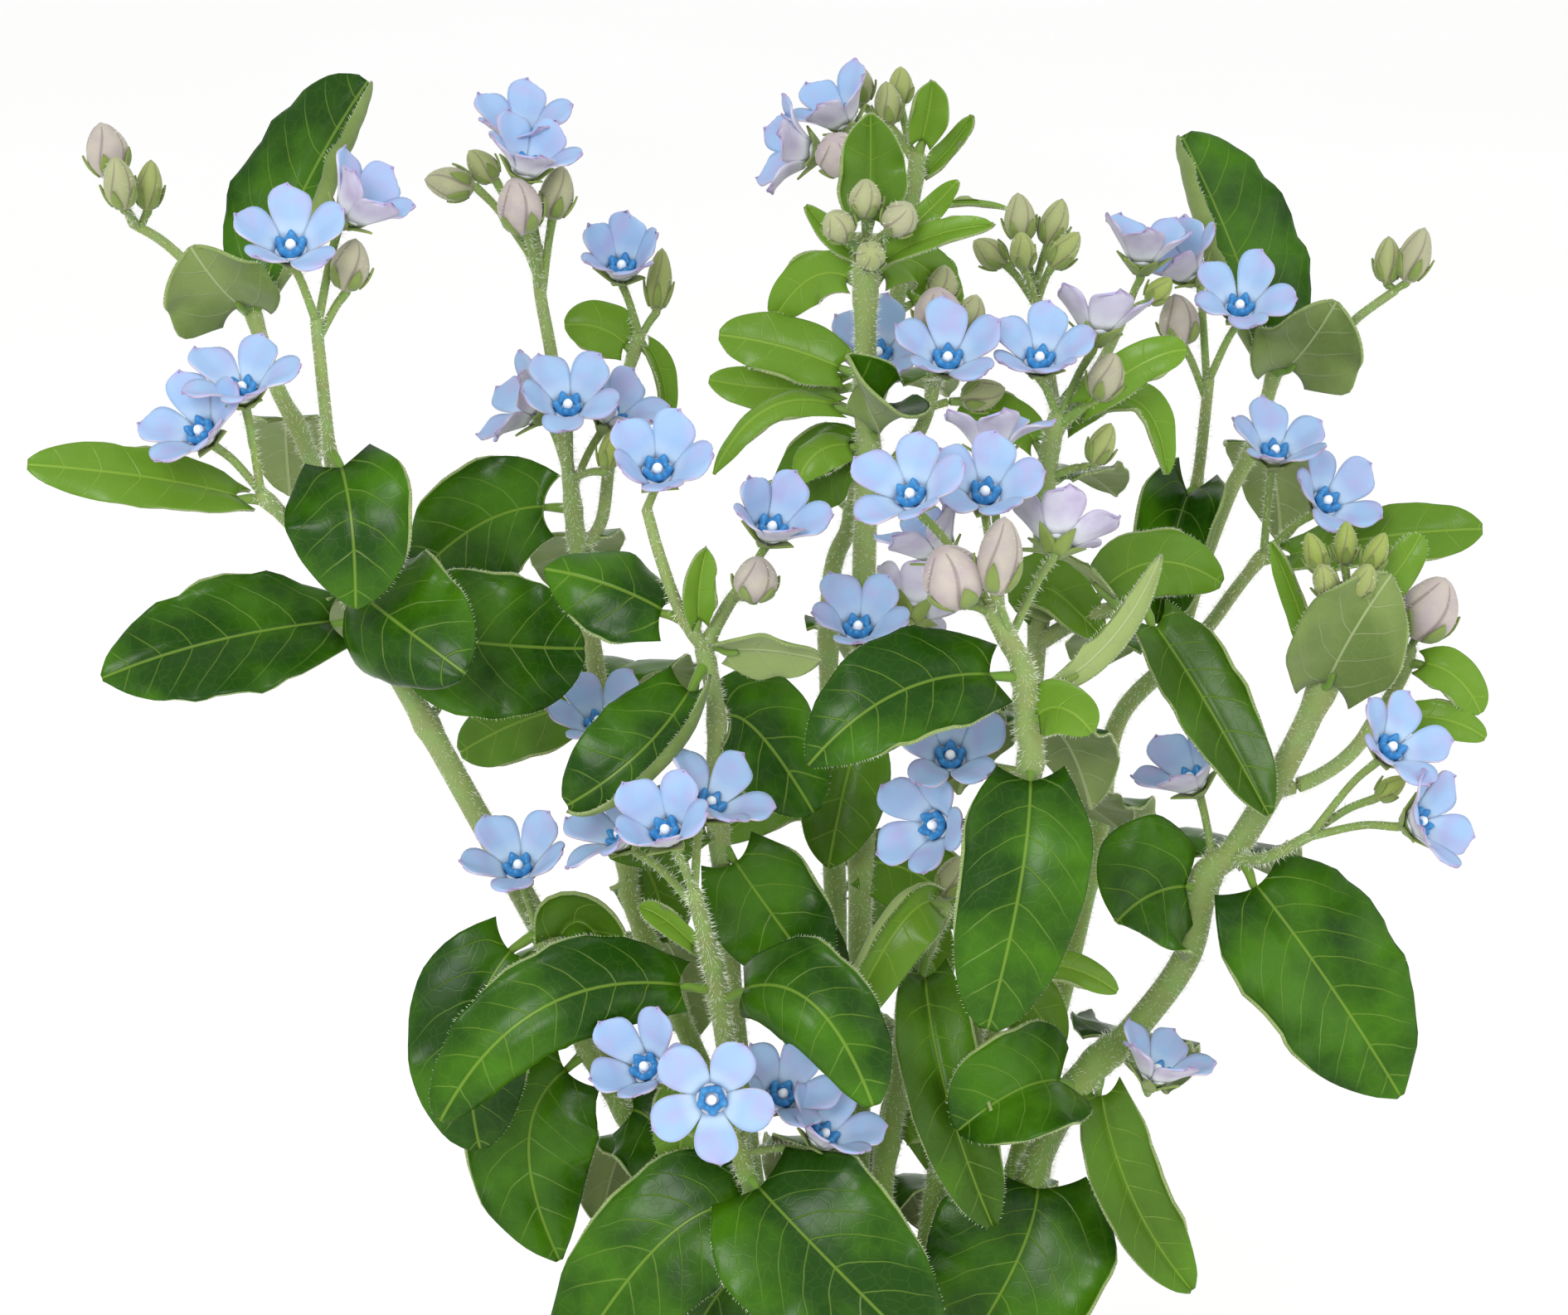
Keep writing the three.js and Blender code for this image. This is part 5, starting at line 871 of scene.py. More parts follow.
def leaf_parts(leaf, hairs):
    """The blade with its underside and edge, its stalk, and the pale fringe of hairs round the blade."""

    def shape(across, along):
        x = towards_margin(across)
        point, normal, _ = leaf.at(towards_tip(along), x)
        return Spot(point + normal * BLADE_THICKNESS / 2, 1 - abs(x), leaf.youth)

    blade = grid(BLADE_COLUMNS, BLADE_ROWS, shape, LEAF_TOP)
    surface = blade.loops.layers.uv["surface"]
    for face in blade.faces:
        for loop in face.loops:
            across, along = loop[surface].uv
            s = towards_tip(along)
            half = leaf.width / 2 * blade_share(s, STYLES[leaf.style][5])
            reach = s * leaf.length * (1 - leaf.bare)
            loop[surface].uv = (towards_margin(across) * half * METRE, reach * METRE)
    thicken(blade, BLADE_THICKNESS, LEAF_UNDER, LEAF_EDGE)
    neck, neck_normal, _ = leaf.at(0, 0)
    rib, rib_normal, _ = leaf.at(0.12, 0)
    under_neck, under_rib = neck - neck_normal * PETIOLE_DROP[0], rib - rib_normal * PETIOLE_DROP[1]
    path = smooth_path([leaf.root, leaf.root.lerp(neck, 0.55), under_neck, under_rib], 3)
    radii = [PETIOLE_RADIUS * (1.25 - 0.75 * i / (len(path) - 1)) for i in range(len(path))]
    stalk = tube(path, radii, PEDICEL_SIDES, STEM, [1 - 0.3 * leaf.youth] * len(path))
    fringe = max(8, int(MARGIN_HAIRS * leaf.length))
    for k in range(fringe):
        s = (k + rand.random()) / fringe
        for x in (-1, 1):
            point, normal, half = leaf.at(s, x)
            inner = leaf.at(s, 0.9 * x)[0]
            outward = (point - inner).normalized() if half > 0.5 else leaf.run(1)
            lean = leaf.run(s) * 0.4 + normal * rand.uniform(-0.5, 0.5)
            length = rand.uniform(*MARGIN_HAIR_LENGTHS)
            hairs.append(Hair(point - outward * 0.1, (outward + lean).normalized(), length))
    return [blade, stalk]


# Flowers
def bloom_axes(axis, spin, k):
    """Outward and sideways directions of the petal or sepal k."""
    first, second = cross_axes(axis)
    turn = spin + 2 * math.pi * k / 5
    out = around(first, second, turn)
    return out, axis.cross(out)


def petal_share(s):
    """Half width along a petal, as a share of its widest half."""
    if s < PETAL_WIDEST_AT:
        return PETAL_FOOT_SHARE + (1 - PETAL_FOOT_SHARE) * math.sin(math.pi / 2 * s / PETAL_WIDEST_AT)
    return max(0.015, 1 - ((s - PETAL_WIDEST_AT) / (1 - PETAL_WIDEST_AT)) ** 2.2) ** 0.5


def petal(centre, axis, cup, spin, k):
    """One broad rounded petal, hollow like a spoon, its margins rolled out and a furrow along it."""
    out, side = bloom_axes(axis, spin, k)
    length = (BLOOM_RADIUS - THROAT_RADIUS) * rand.uniform(0.93, 1.02)
    lift = cup + rand.uniform(0.0, 0.26)
    bend = rand.uniform(-0.02, 0.16)
    breadth = PETAL_HALF_WIDTH * rand.uniform(0.92, 1.04)

    def shape(across, along):
        x = 1 - 2 * across
        s = 1 - (1 - along) ** 1.3
        reach = s * length
        rise = lift + bend * math.cos(math.pi * s)
        half = breadth * petal_share(s)
        hollow = PETAL_CUP * x * x * math.sin(math.pi * min(1, s * 1.05)) - 0.5 * x**4 * s
        hollow -= PETAL_KEEL * math.exp(-((x / 0.18) ** 2)) * math.sin(math.pi * s)
        flat = THROAT_RADIUS + reach * math.cos(rise)
        sway = PETAL_TWIST * reach * x * 0.4
        point = centre + out * flat + side * (x * half + 0.05 * reach)
        point += axis * (reach * math.sin(rise) + hollow + sway + 0.12 * math.sin(5 * s + 3 * x))
        return Spot(point, 1 - abs(x) ** 2 * max(s, 0.3), s)

    sheet = grid(PETAL_COLUMNS, PETAL_ROWS, shape, PETAL_FACE)
    return thicken(sheet, PETAL_THICKNESS, PETAL_BACK, PETAL_BACK)


def turned(centre, axis, outline, sides, finish):
    """A small closed body turned round an axis from its outline."""
    first, second = cross_axes(axis)

    def shape(across, along):
        radius, height = outline[round(along * (len(outline) - 1))]
        return Spot(centre + around(first, second, 2 * math.pi * across) * radius + axis * height, 1, 0)

    return seal(grid(sides, len(outline) - 1, shape, finish))


def crown_of_bloom(centre, axis, spin):
    """Five upright fleshy lobes round a white boss."""
    first, second = cross_axes(axis)

    def shape(across, along):
        radius, height = CROWN_OUTLINE[round(along * (len(CROWN_OUTLINE) - 1))]
        turn = 2 * math.pi * across
        lobes = math.cos(5 * (turn - spin))
        tall = CROWN_HEIGHT * (0.72 + 0.28 * lobes)
        wide = radius * (1 + 0.2 * lobes * height) * CROWN_LOBE
        return Spot(centre + around(first, second, turn) * wide + axis * height * tall, 1, height)

    ring = seal(grid(40, len(CROWN_OUTLINE) - 1, shape, CROWN_BLUE))
    return [ring, turned(centre, axis, BOSS_OUTLINE, 10, CROWN_WHITE)]


def sepals(centre, axis, spin, half_width, hug):
    """Five narrow pointed sepals round a flower or bud, at the radius and height that hug gives."""
    parts = []
    for k in range(5):
        out, side = bloom_axes(axis, spin + math.pi / 5, k)

        def shape(across, along):
            x = 2 * across - 1
            half = half_width * (math.sin(math.pi * (0.25 + 0.75 * along)) + 0.02)
            radius, height = hug(along)
            point = centre + out * (radius - 0.12 * half * x * x) + side * (x * half) + axis * height
            return Spot(point, 1 - abs(x), 1 - 0.5 * along)

        parts.append(thicken(grid(4, 5, shape, SEPAL), SEPAL_THICKNESS, SEPAL, SEPAL))
    return parts


def bloom_parts(centre, axis, cup, spin):
    """Five petals on a shallow closed bowl, round the crown."""
    petals = [petal(centre, axis, cup, spin, k) for k in range(5)]
    bowl = turned(centre, axis, BLOOM_FLOOR, 20, PETAL_BACK)
    return [*petals, bowl, *crown_of_bloom(centre, axis, spin)]


def bowed_path(foot, base):
    """The way of a flower stalk from the stem to a flower or bud, bowed up a little."""
    bow = foot.lerp(base, 0.6) + (base - foot).length * PEDICEL_BOW * RISE
    return smooth_path([foot, bow, base], PEDICEL_STEPS)


def calyx_parts(foot, centre, axis, spin, hairs):
    """Flower stalk that leaves the stem and opens into a cup of five sepals."""
    base = centre - axis * CALYX_LENGTH
    path = bowed_path(foot, base)
    last = len(path) - 1
    radii = [PEDICEL_RADIUS * (1.05 - 0.1 * math.sin(math.pi * i / last)) for i in range(len(path))]
    path += [base + axis * 1.3, base + axis * 2.5, centre - axis * CALYX_DROP]
    radii += [PEDICEL_RADIUS * 1.25, 1.9, 2.5]
    hair_stalk(path, radii, hairs, 0.8)

    def hug(along):
        flare = SEPAL_REACH * along
        return 1.15 + flare * math.cos(0.9 - 0.35 * along), -CALYX_LENGTH + 0.9 + flare * math.sin(0.75)

    stalk = tube(path, radii, PEDICEL_SIDES + 2, STEM, [0.35] * len(path))
    return [stalk, *sepals(centre, axis, spin, SEPAL_HALF_WIDTH, hug)]


def bud_parts(foot, centre, axis, length, width, spin, hairs):
    """Closed bud on its stalk, its five petals wound round each other."""
    base = centre - axis * 0.5 * length
    path = bowed_path(foot, base)
    path.append(base + axis * 0.12 * length)
    radii = [PEDICEL_RADIUS * (0.95 + 0.25 * (i / len(path)) ** 3) for i in range(len(path))]
    hair_stalk(path, radii, hairs, 0.7)
    first, second = cross_axes(axis)
    ripe = min(1, max(0, (width - GREEN_BUD_WIDTH) / (RIPE_BUD_WIDTH - GREEN_BUD_WIDTH)))

    def radius_at(s):
        return 0.5 * width * max(0, math.sin(math.pi * s**0.86)) ** 0.62

    def shape(across, along):
        turn = 2 * math.pi * across
        fold = 1 + BUD_FOLD * (abs(math.sin(2.5 * turn)) - 0.6) * min(1, along * 3)
        twist = turn + spin + BUD_SPIRAL * along
        radius = radius_at(along) * fold
        point = centre + around(first, second, twist) * radius
        # The margin layer falls to 0 along the folds, where the bud's finish paints shade
        return Spot(point + axis * (along - 0.5) * length, abs(math.sin(2.5 * turn)), ripe)

    def hug(along):
        s = 0.1 + 0.42 * along
        return radius_at(s) + 0.35 + 0.5 * along * along, (s - 0.5) * length

    body = seal(grid(BUD_COLUMNS, BUD_ROWS, shape, BUD))
    for _ in range(int(BUD_HAIRS * length * width)):
        s, turn = rand.uniform(0.08, 0.85), rand.uniform(0, 2 * math.pi)
        out = around(first, second, turn)
        start = centre + out * radius_at(s) * 0.96 + axis * (s - 0.5) * length
        direction = (out + axis * rand.uniform(-0.2, 0.6)).normalized()
        hairs.append(Hair(start, direction, rand.uniform(*BUD_HAIR_LENGTHS)))
    half = max(0.8, 0.16 * width)
    stalk = tube(path, radii, PEDICEL_SIDES, STEM, [0.35] * len(path))
    return [body, stalk, *sepals(centre, axis, spin, half, hug)]


# Stems
def hair_stalk(path, radii, hairs, share):
    """Hairs all round a stalk, standing out from it."""
    for a, b, radius in zip(path, path[1:], radii):
        along = (b - a).normalized()
        first = square_to(along, RIGHT if abs(along.x) < 0.95 else RISE)
        second = along.cross(first)
        expected = STEM_HAIRS * share * 2 * math.pi * radius * (b - a).length
        for _ in range(int(expected + rand.random())):
            turn = rand.uniform(0, 2 * math.pi)
            out = around(first, second, turn)
            foot = a.lerp(b, rand.random()) + out * radius * 0.93
            lean = along * rand.uniform(-0.5, 0.5) + second * rand.uniform(-0.3, 0.3)
            hairs.append(Hair(foot, (out + lean).normalized(), rand.uniform(*STEM_HAIR_LENGTHS)))


def stalk_radii(path, foot_radius, top_radius, knots):
    """Radii of a stalk that tapers, and swells a little where a leaf leaves it."""
    end = len(path) - 1
    radii = []
    for i, point in enumerate(path):
        radius = foot_radius + (top_radius - foot_radius) * i / end
        near = min((point - knot).length for knot in knots)
        radii.append(radius * (1 + KNOT_SWELL * math.exp(-((near / KNOT_REACH) ** 2))))
    return radii


def seat_top(middle, foot, stalk_points, sharing):
    """The stem point that a flower or bud grows from, and its middle. Those that share a foot step down."""
    key = tuple(foot)
    lower = sharing.get(key, 0)
    sharing[key] = lower + 1
    anchor = nearest(stalk_points, foot)
    start = nearest(stalk_points, [foot[0], foot[1] - lower * PEDICEL_STEP_DOWN])
    return place(start), place([middle[0], middle[1], anchor[2] + middle[2]])


def grow_stem(stem, stem_index):
    """One stem of the plan: its stalks, leaves, calyxes and buds, and its corollas by node."""
    root_top = Vector((stem["root"][0], stem["root"][1], SOIL_LEVEL + 3))
    stalk_points = []
    stalks = []
    for k, (foot_radius, top_radius, marks) in enumerate(stem["stalks"]):
        path = [place(mark) for mark in marks]
        if k == 0:
            path.insert(0, root_top)
        smooth = smooth_path(path, STALK_STEPS)
        stalk_points += [seen_at(point) for point in smooth]
        if k == 0:
            smooth.insert(0, root_top - Vector((0, 0, STEM_DEPTH + 3)))
        end = smooth[-1] + (smooth[-1] - smooth[-2]).normalized() * top_radius * 0.7
        stalks.append((smooth + [end], foot_radius, top_radius))
    leaves = [Leaf(line, stalk_points, stem_index + 2.4 * k) for k, line in enumerate(stem["leaves"])]
    knots = [leaf.root for leaf in leaves]
    hairs, woody, blades, buds = [], [], [], []
    for path, foot_radius, top_radius in stalks:
        radii = stalk_radii(path, foot_radius, top_radius, knots)
        radii[-1] *= 0.45
        tone = [min(1, max(0, (YOUNG_ABOVE - point.z) / AGEING_SPAN)) for point in path]
        woody.append(tube(path, radii, STALK_SIDES, STEM, tone))
        hair_stalk(path, radii, hairs, 1)
    for leaf in leaves:
        blades += leaf_parts(leaf, hairs)
    corollas = {}
    sharing = {}
    for k, (node, middle, direction, cup, foot) in enumerate(stem["blooms"]):
        axis = facing(direction)
        start, centre = seat_top(middle, foot, stalk_points, sharing)
        spin = stem_index + k
        woody += calyx_parts(start, centre, axis, spin, hairs)
        corollas.setdefault(node, []).extend(bloom_parts(centre, axis, cup, spin))
    for k, (middle, direction, length, width, foot) in enumerate(stem["buds"]):
        axis = facing(direction)
        start, centre = seat_top(middle, foot, stalk_points, sharing)
        buds += bud_parts(start, centre, axis, length, width, stem_index + k, hairs)
    return woody, blades, buds, hairs, corollas


def hair_part(hairs):
    """Every hair of a stem as a three-sided spike."""
    spike = new_mesh()
    bmesh.ops.create_cone(
        spike, cap_ends=True, cap_tris=False, segments=3, radius1=1, radius2=0, depth=1,
        matrix=Matrix.Translation((0, 0, 0.5)),
    )
    return copies(spike, [lay_along(hair.foot, hair.direction, HAIR_RADIUS, hair.length) for hair in hairs])


# Pot and soil
def ground(x, y):
    """Height of the soil's surface: a low crown with lumps and crumbs."""
    out = math.hypot(x, y)
    crown = SOIL_LEVEL - 0.2 - SOIL_DROP * (out / 60) ** 2
    lump = SOIL_LUMP * noise.noise(Vector((x / SOIL_LUMP_LENGTH, y / SOIL_LUMP_LENGTH, 3)))
    crumb = SOIL_CRUMB * noise.noise(Vector((x / SOIL_CRUMB_LENGTH, y / SOIL_CRUMB_LENGTH, 8)))
    return crown + lump + crumb


def pot_inside(height):
    """Radius of the pot's inner wall at a height."""
    top, bottom = POT_RIM_RADIUS - POT_WALL, POT_BASE_RADIUS - POT_WALL
    return bottom + (top - bottom) * (height - POT_FLOOR) / (POT_HEIGHT - POT_FLOOR)


def spun(profile, steps, finish):
    """A closed body of revolution round the pot's axis from [radius, height] points."""
    bm = new_mesh()
    verts = [bm.verts.new((radius, 0, height)) for radius, height in profile]
    edges = [bm.edges.new(pair) for pair in zip(verts, verts[1:])]
    bmesh.ops.spin(
        bm, geom=verts + edges, cent=(0, 0, 0), axis=(0, 0, 1), dvec=(0, 0, 0), angle=2 * math.pi,
        steps=steps, use_merge=True, use_duplicate=False,
    )
    bmesh.ops.remove_doubles(bm, verts=bm.verts[:], dist=1e-3)
    bmesh.ops.recalc_face_normals(bm, faces=bm.faces[:])
    for face in bm.faces:
        face.smooth = True
        face.material_index = finish
    return bm


def solid_object(name, bm):
    """An object in the scene that takes over a bmesh."""
    mesh = bpy.data.meshes.new(name)
    bm.to_mesh(mesh)
    bm.free()
    made = bpy.data.objects.new(name, mesh)
    bpy.context.scene.collection.objects.link(made)
    return made


def pot_part():
    """The thrown pot: tapered wall, stepped band with softened edges, and drain holes through its floor."""
    band_foot = POT_HEIGHT - POT_BAND_HEIGHT
    slope = (POT_RIM_RADIUS - POT_BAND_STEP - POT_BASE_RADIUS) / POT_HEIGHT
    wall = POT_BASE_RADIUS + slope * band_foot
    profile = [
        (0, 0), (POT_BASE_RADIUS, 0),
        (wall, band_foot), (wall + POT_BAND_STEP, band_foot + POT_BAND_STEP / 2),
        (POT_RIM_RADIUS, POT_HEIGHT), (pot_inside(POT_HEIGHT), POT_HEIGHT),
        (pot_inside(POT_FLOOR), POT_FLOOR), (0, POT_FLOOR),
    ]
    bm = spun(profile, POT_FACETS, 0)
    folds = [edge for edge in bm.edges if len(edge.link_faces) == 2]
    sharp = [edge for edge in folds if edge.calc_face_angle() > POT_EDGE_ANGLE]
    bmesh.ops.bevel(
        bm, geom=sharp, offset=POT_ROUNDING, offset_type="OFFSET", segments=3, profile=0.5, affect="EDGES",
        material=-1,
    )
    holes = new_mesh()
    for k in range(DRAIN_COUNT):
        turn = 2 * math.pi * (k + 0.5) / DRAIN_COUNT
        middle = (DRAIN_PITCH_RADIUS * math.cos(turn), DRAIN_PITCH_RADIUS * math.sin(turn), 0)
        bmesh.ops.create_cone(
            holes, cap_ends=True, segments=32, radius1=DRAIN_RADIUS, radius2=DRAIN_RADIUS,
            depth=3 * POT_FLOOR, matrix=Matrix.Translation(middle),
        )
    pot, drains = solid_object("pot_blank", bm), solid_object("drains", holes)
    cut = pot.modifiers.new("drains", "BOOLEAN")
    cut.object = drains
    cut.operation = "DIFFERENCE"
    shaped = pot.evaluated_get(bpy.context.evaluated_depsgraph_get()).to_mesh()
    bored = new_mesh()
    bored.from_mesh(shaped)
    for blank in (pot, drains):
        bpy.data.objects.remove(blank)
    for face in bored.faces:
        face.material_index = 0
        face.smooth = True
    for edge in bored.edges:
        if len(edge.link_faces) == 2 and edge.calc_face_angle() > POT_CREASE_ANGLE:
            edge.smooth = False
    return bored


def soil_parts():
    """The soil, lumpy on top, with loose crumbs of peat and grains of perlite lying on it."""
    low = POT_FLOOR + SEAT_GAP
    edge = SOIL_LEVEL - SOIL_DROP
    rim = pot_inside(edge) - 2 * SEAT_GAP
    rings = [(rim * (1 - k / SOIL_RINGS), edge) for k in range(SOIL_RINGS)]
    profile = [(0, low), (pot_inside(low) - 2 * SEAT_GAP, low), *rings, (0, edge)]
    soil = spun(profile, SOIL_FACETS, 0)
    for vert in soil.verts:
        if vert.co.z > edge - 0.1:
            vert.co.z = ground(vert.co.x, vert.co.y)
    crumb = new_mesh()
    bmesh.ops.create_icosphere(crumb, subdivisions=1, radius=1)
    parts = [soil]
    for finish, count, span in ((0, CRUMB_COUNT, CRUMB_SIZES), (1, CRUMB_COUNT // 8, PERLITE_SIZES)):
        places = []
        for _ in range(count):
            out, turn = (rim - 3) * math.sqrt(rand.random()), rand.uniform(0, 2 * math.pi)
            x, y = out * math.cos(turn), out * math.sin(turn)
            size = rand.uniform(*span)
            spread = Matrix.Diagonal((size, size * rand.uniform(0.6, 1), size * 0.6, 1))
            tilt = Matrix.Rotation(rand.uniform(0, 6.28), 4, (rand.random(), rand.random(), 1))
            places.append(Matrix.Translation((x, y, ground(x, y) + 0.1)) @ tilt @ spread)
        grains = copies(crumb, places)
        for face in grains.faces:
            face.material_index = finish
        parts.append(grains)
    crumb.free()
    return parts


# Finishes
MIX = {"data_type": "RGBA"}
MULTIPLY = {"data_type": "RGBA", "blend_type": "MULTIPLY"}
SOFT = {"interpolation_type": "SMOOTHSTEP"}


def linear(colour):
    """An sRGB hex colour as linear values."""
    channels = [int(colour[k:k + 2], 16) / 255 for k in (1, 3, 5)]
    return [c / 12.92 if c <= 0.04045 else ((c + 0.055) / 1.055) ** 2.4 for c in channels] + [1]


def shown_output(made):
    """The output that a node gives in its present mode."""
    return next(one for one in made.outputs if one.enabled)


def node(tree, kind, settings=None, inputs=None):
    """Adds a node with its settings. An input given as a node or socket is linked, anything else is set."""
    made = tree.nodes.new(kind)
    for key, value in (settings or {}).items():
        setattr(made, key, value)
    for key, value in (inputs or {}).items():
        socket = made.inputs[key] if isinstance(key, int) else next(
            one for one in made.inputs if one.enabled and one.name == key
        )
        if isinstance(value, bpy.types.Node):
            value = shown_output(value)
        if isinstance(value, bpy.types.NodeSocket):
            tree.links.new(value, socket)
        else:
            socket.default_value = linear(value) if isinstance(value, str) else value
    return made


def reckon(tree, operation, *values):
    """One step of arithmetic."""
    return node(tree, "ShaderNodeMath", {"operation": operation}, dict(enumerate(values)))


def ramp(tree, value, start, end, low, high, settings=SOFT):
    """Turns a value that runs from start to end into one that runs from low to high."""
    return node(tree, "ShaderNodeMapRange", settings, {
        "Value": value, "From Min": start, "From Max": end, "To Min": low, "To Max": high,
    })


def blend(tree, factor, first, second, settings=MIX):
    """Mixes two colours, each a hex colour or a node."""
    return node(tree, "ShaderNodeMix", settings, {"Factor": factor, 6: first, 7: second})


def patches(tree, per_metre, detail):
    """Soft patches in the object's own coordinates, so many to the metre."""
    place_on = node(tree, "ShaderNodeTexCoord")
    return node(tree, "ShaderNodeTexNoise", None, {
        "Vector": place_on.outputs["Object"], "Scale": per_metre, "Detail": detail,
    })


def carried(tree, name):
    """The margin or tone that the mesh carries at each point."""
    return node(tree, "ShaderNodeAttribute", {"attribute_name": name}).outputs["Fac"]


def finish(name, roughness, values=None):
    """A material with its surface shader, and the tree that its pattern goes in."""
    material = bpy.data.materials.new(name)
    material.use_nodes = True
    tree = material.node_tree
    shader = tree.nodes["Principled BSDF"]
    shader.inputs["Roughness"].default_value = roughness
    for key, value in (values or {}).items():
        shader.inputs[key].default_value = value
    return material, tree, shader


def paint(tree, shader, colour):
    """Gives the surface its colour."""
    tree.links.new(shown_output(colour), shader.inputs["Base Color"])


def emboss(tree, shader, height, strength, depth):
    """Gives the surface a low relief of a depth in millimetres."""
    relief = node(tree, "ShaderNodeBump", None, {
        "Strength": strength, "Distance": depth * METRE, "Height": height,
    })
    tree.links.new(relief.outputs[0], shader.inputs["Normal"])


def vein_mask(tree):
    """Where the veins of a blade run, from 0 to 1, out of its own measured surface coordinates in metres."""
    surface = node(tree, "ShaderNodeUVMap", {"uv_map": "surface"})
    drift = node(tree, "ShaderNodeTexNoise", None, {"Vector": surface, "Scale": 170.0, "Detail": 2.0})
    shifted = node(tree, "ShaderNodeVectorMath", {"operation": "MULTIPLY_ADD"}, {
        0: drift.outputs["Color"], 1: (VEIN_DRIFT * METRE, VEIN_DRIFT * METRE, 0), 2: surface,
    })
    spread = node(tree, "ShaderNodeSeparateXYZ", None, {0: shifted})
    straight = node(tree, "ShaderNodeSeparateXYZ", None, {0: surface})
    out = reckon(tree, "ABSOLUTE", straight.outputs[0])
    lean = reckon(tree, "MULTIPLY_ADD", out, -VEIN_ARCH / METRE, -VEIN_LEAN)
    row = reckon(tree, "MULTIPLY_ADD", out, lean, spread.outputs[1])
    far = reckon(tree, "PINGPONG", row, VEIN_SPACING * METRE / 2)
    side_veins = ramp(tree, far, 0.0, VEIN_WIDTH * METRE, 1.0, 0.0)
    rib = ramp(tree, out, RIB_CORE * METRE, RIB_WIDTH * METRE, 1.0, 0.0)
    cells = node(tree, "ShaderNodeTexVoronoi", {"feature": "DISTANCE_TO_EDGE"}, {
        "Vector": shifted, "Scale": 420.0, "Randomness": 1.0,
    })
    net = ramp(tree, cells.outputs["Distance"], 0.0, 0.07, 0.09, 0.0)
    fade = ramp(tree, carried(tree, "margin"), 0.02, 0.5, 0.15, 0.8)
    faded = reckon(tree, "MULTIPLY", side_veins, fade)
    return reckon(tree, "MAXIMUM", reckon(tree, "MAXIMUM", faded, net), rib)


def leaf_finish(name, roughness, colours, vein_colour, vein_share, relief, values):
    """Old and young colour, mottling, veins and the relief of the veins for one face of the leaves."""
    material, tree, shader = finish(name, roughness, values)
    deep, light, young = colours
    clouds = ramp(tree, patches(tree, 55.0, 3.0), 0.4, 0.64, 0.0, 1.0, None)
    aged = blend(tree, carried(tree, "tone"), blend(tree, clouds, deep, light), young)
    veins = vein_mask(tree)
    paint(tree, shader, blend(tree, reckon(tree, "MULTIPLY", veins, vein_share), aged, vein_colour))
    emboss(tree, shader, veins, 0.6, relief)
    return material


def plain_finish(name, roughness, low, high, size, values, relief=0.0):
    """One colour that drifts into another in patches of a size in millimetres."""
    material, tree, shader = finish(name, roughness, values)
    drift = patches(tree, 1 / (size * METRE), 4.0)
    paint(tree, shader, blend(tree, drift, low, high))
    if relief:
        emboss(tree, shader, drift, 0.7, relief)
    return material


def stem_finish():
    """Downy stem: a yellow-green skin, greyer where it is young, under a haze of white hairs."""
    material, tree, shader = finish(
        "downy_stem", 0.6, {"Specular IOR Level": 0.25, "Sheen Weight": 0.2, "Sheen Roughness": 0.5},
    )
    blotches = patches(tree, 240.0, 3.0)
    aged = blend(tree, carried(tree, "tone"), "#8a9f5c", "#6a8f2c")
    paint(tree, shader, blend(tree, 0.35, aged, blotches.outputs["Color"], MULTIPLY))
    return material


def petal_finish(name, base, middle, rim, roughness, values):
    """Thin satin petal: paler at the throat, with clouds of the rim's colour, which is full at the margin."""
    material, tree, shader = finish(name, roughness, values)
    along = carried(tree, "tone")
    throat = ramp(tree, along, 0.05, 0.45, 0.0, 1.0)
    drift = ramp(tree, patches(tree, 190.0, 2.0), 0.42, 0.7, 0.0, 0.55, None)
    body = blend(tree, throat, base, blend(tree, drift, middle, rim))
    edge = ramp(tree, carried(tree, "margin"), 0.0, 0.3, 0.8, 0.0)
    tip = ramp(tree, along, 0.9, 1.0, 0.0, 0.8)
    paint(tree, shader, blend(tree, reckon(tree, "MAXIMUM", edge, tip), body, rim))
    return material


def bud_finish():
    """Closed petals of a bud: green while small, cream and lilac once ripe, with painted shade as dark lines in
    the folds.
    """
    material, tree, shader = finish(
        "closed_bud", 0.6, {"Specular IOR Level": 0.25, "Sheen Weight": 0.15, "Sheen Roughness": 0.5},
    )
    blush = blend(tree, patches(tree, 260.0, 3.0), "#c0b9a4", "#9b8a9c")
    body = blend(tree, carried(tree, "tone"), "#8c9c4c", blush)
    # Painted shade: a dark line along each fold between the wound petals, where the margin layer is low
    painted_fold_shade = ramp(tree, carried(tree, "margin"), 0.0, 0.35, 0.6, 0.0)
    paint(tree, shader, blend(tree, painted_fold_shade, body, "#6d5c5a"))
    return material


# Waxy leaf: a smooth cuticle gives soft broad highlights, and the veins show paler through it
leaf_top = leaf_finish(
    "waxy_leaf_top", 0.3, ("#193e02", "#3a6806", "#628827"), "#86a63c", 0.42, -0.2,
    {"IOR": 1.45, "Specular IOR Level": 0.2},
)
# Downy leaf: short white down on raised veins makes the underside matt and grey
leaf_under = leaf_finish(
    "downy_leaf_underside", 0.8, ("#5a7034", "#74884a", "#8a9c5e"), "#a3b17e", 0.6, 0.4,
    {"Specular IOR Level": 0.2, "Sheen Weight": 0.15, "Sheen Roughness": 0.6},
)
# Leaf margin: the down stands out along the cut edge and reads as a pale line
leaf_edge = plain_finish(
    "downy_leaf_margin", 0.8, "#6f8646", "#8c9c62", 6, {"Specular IOR Level": 0.2, "Sheen Weight": 0.15},
)
# Stem skin: matt and downy, a little uneven in colour
stem_skin = stem_finish()
# Sepal: downy like the stem, with greyer patches
sepal_skin = plain_finish(
    "downy_sepal", 0.7, "#64792e", "#8a9c56", 3, {"Specular IOR Level": 0.2, "Sheen Weight": 0.2},
)
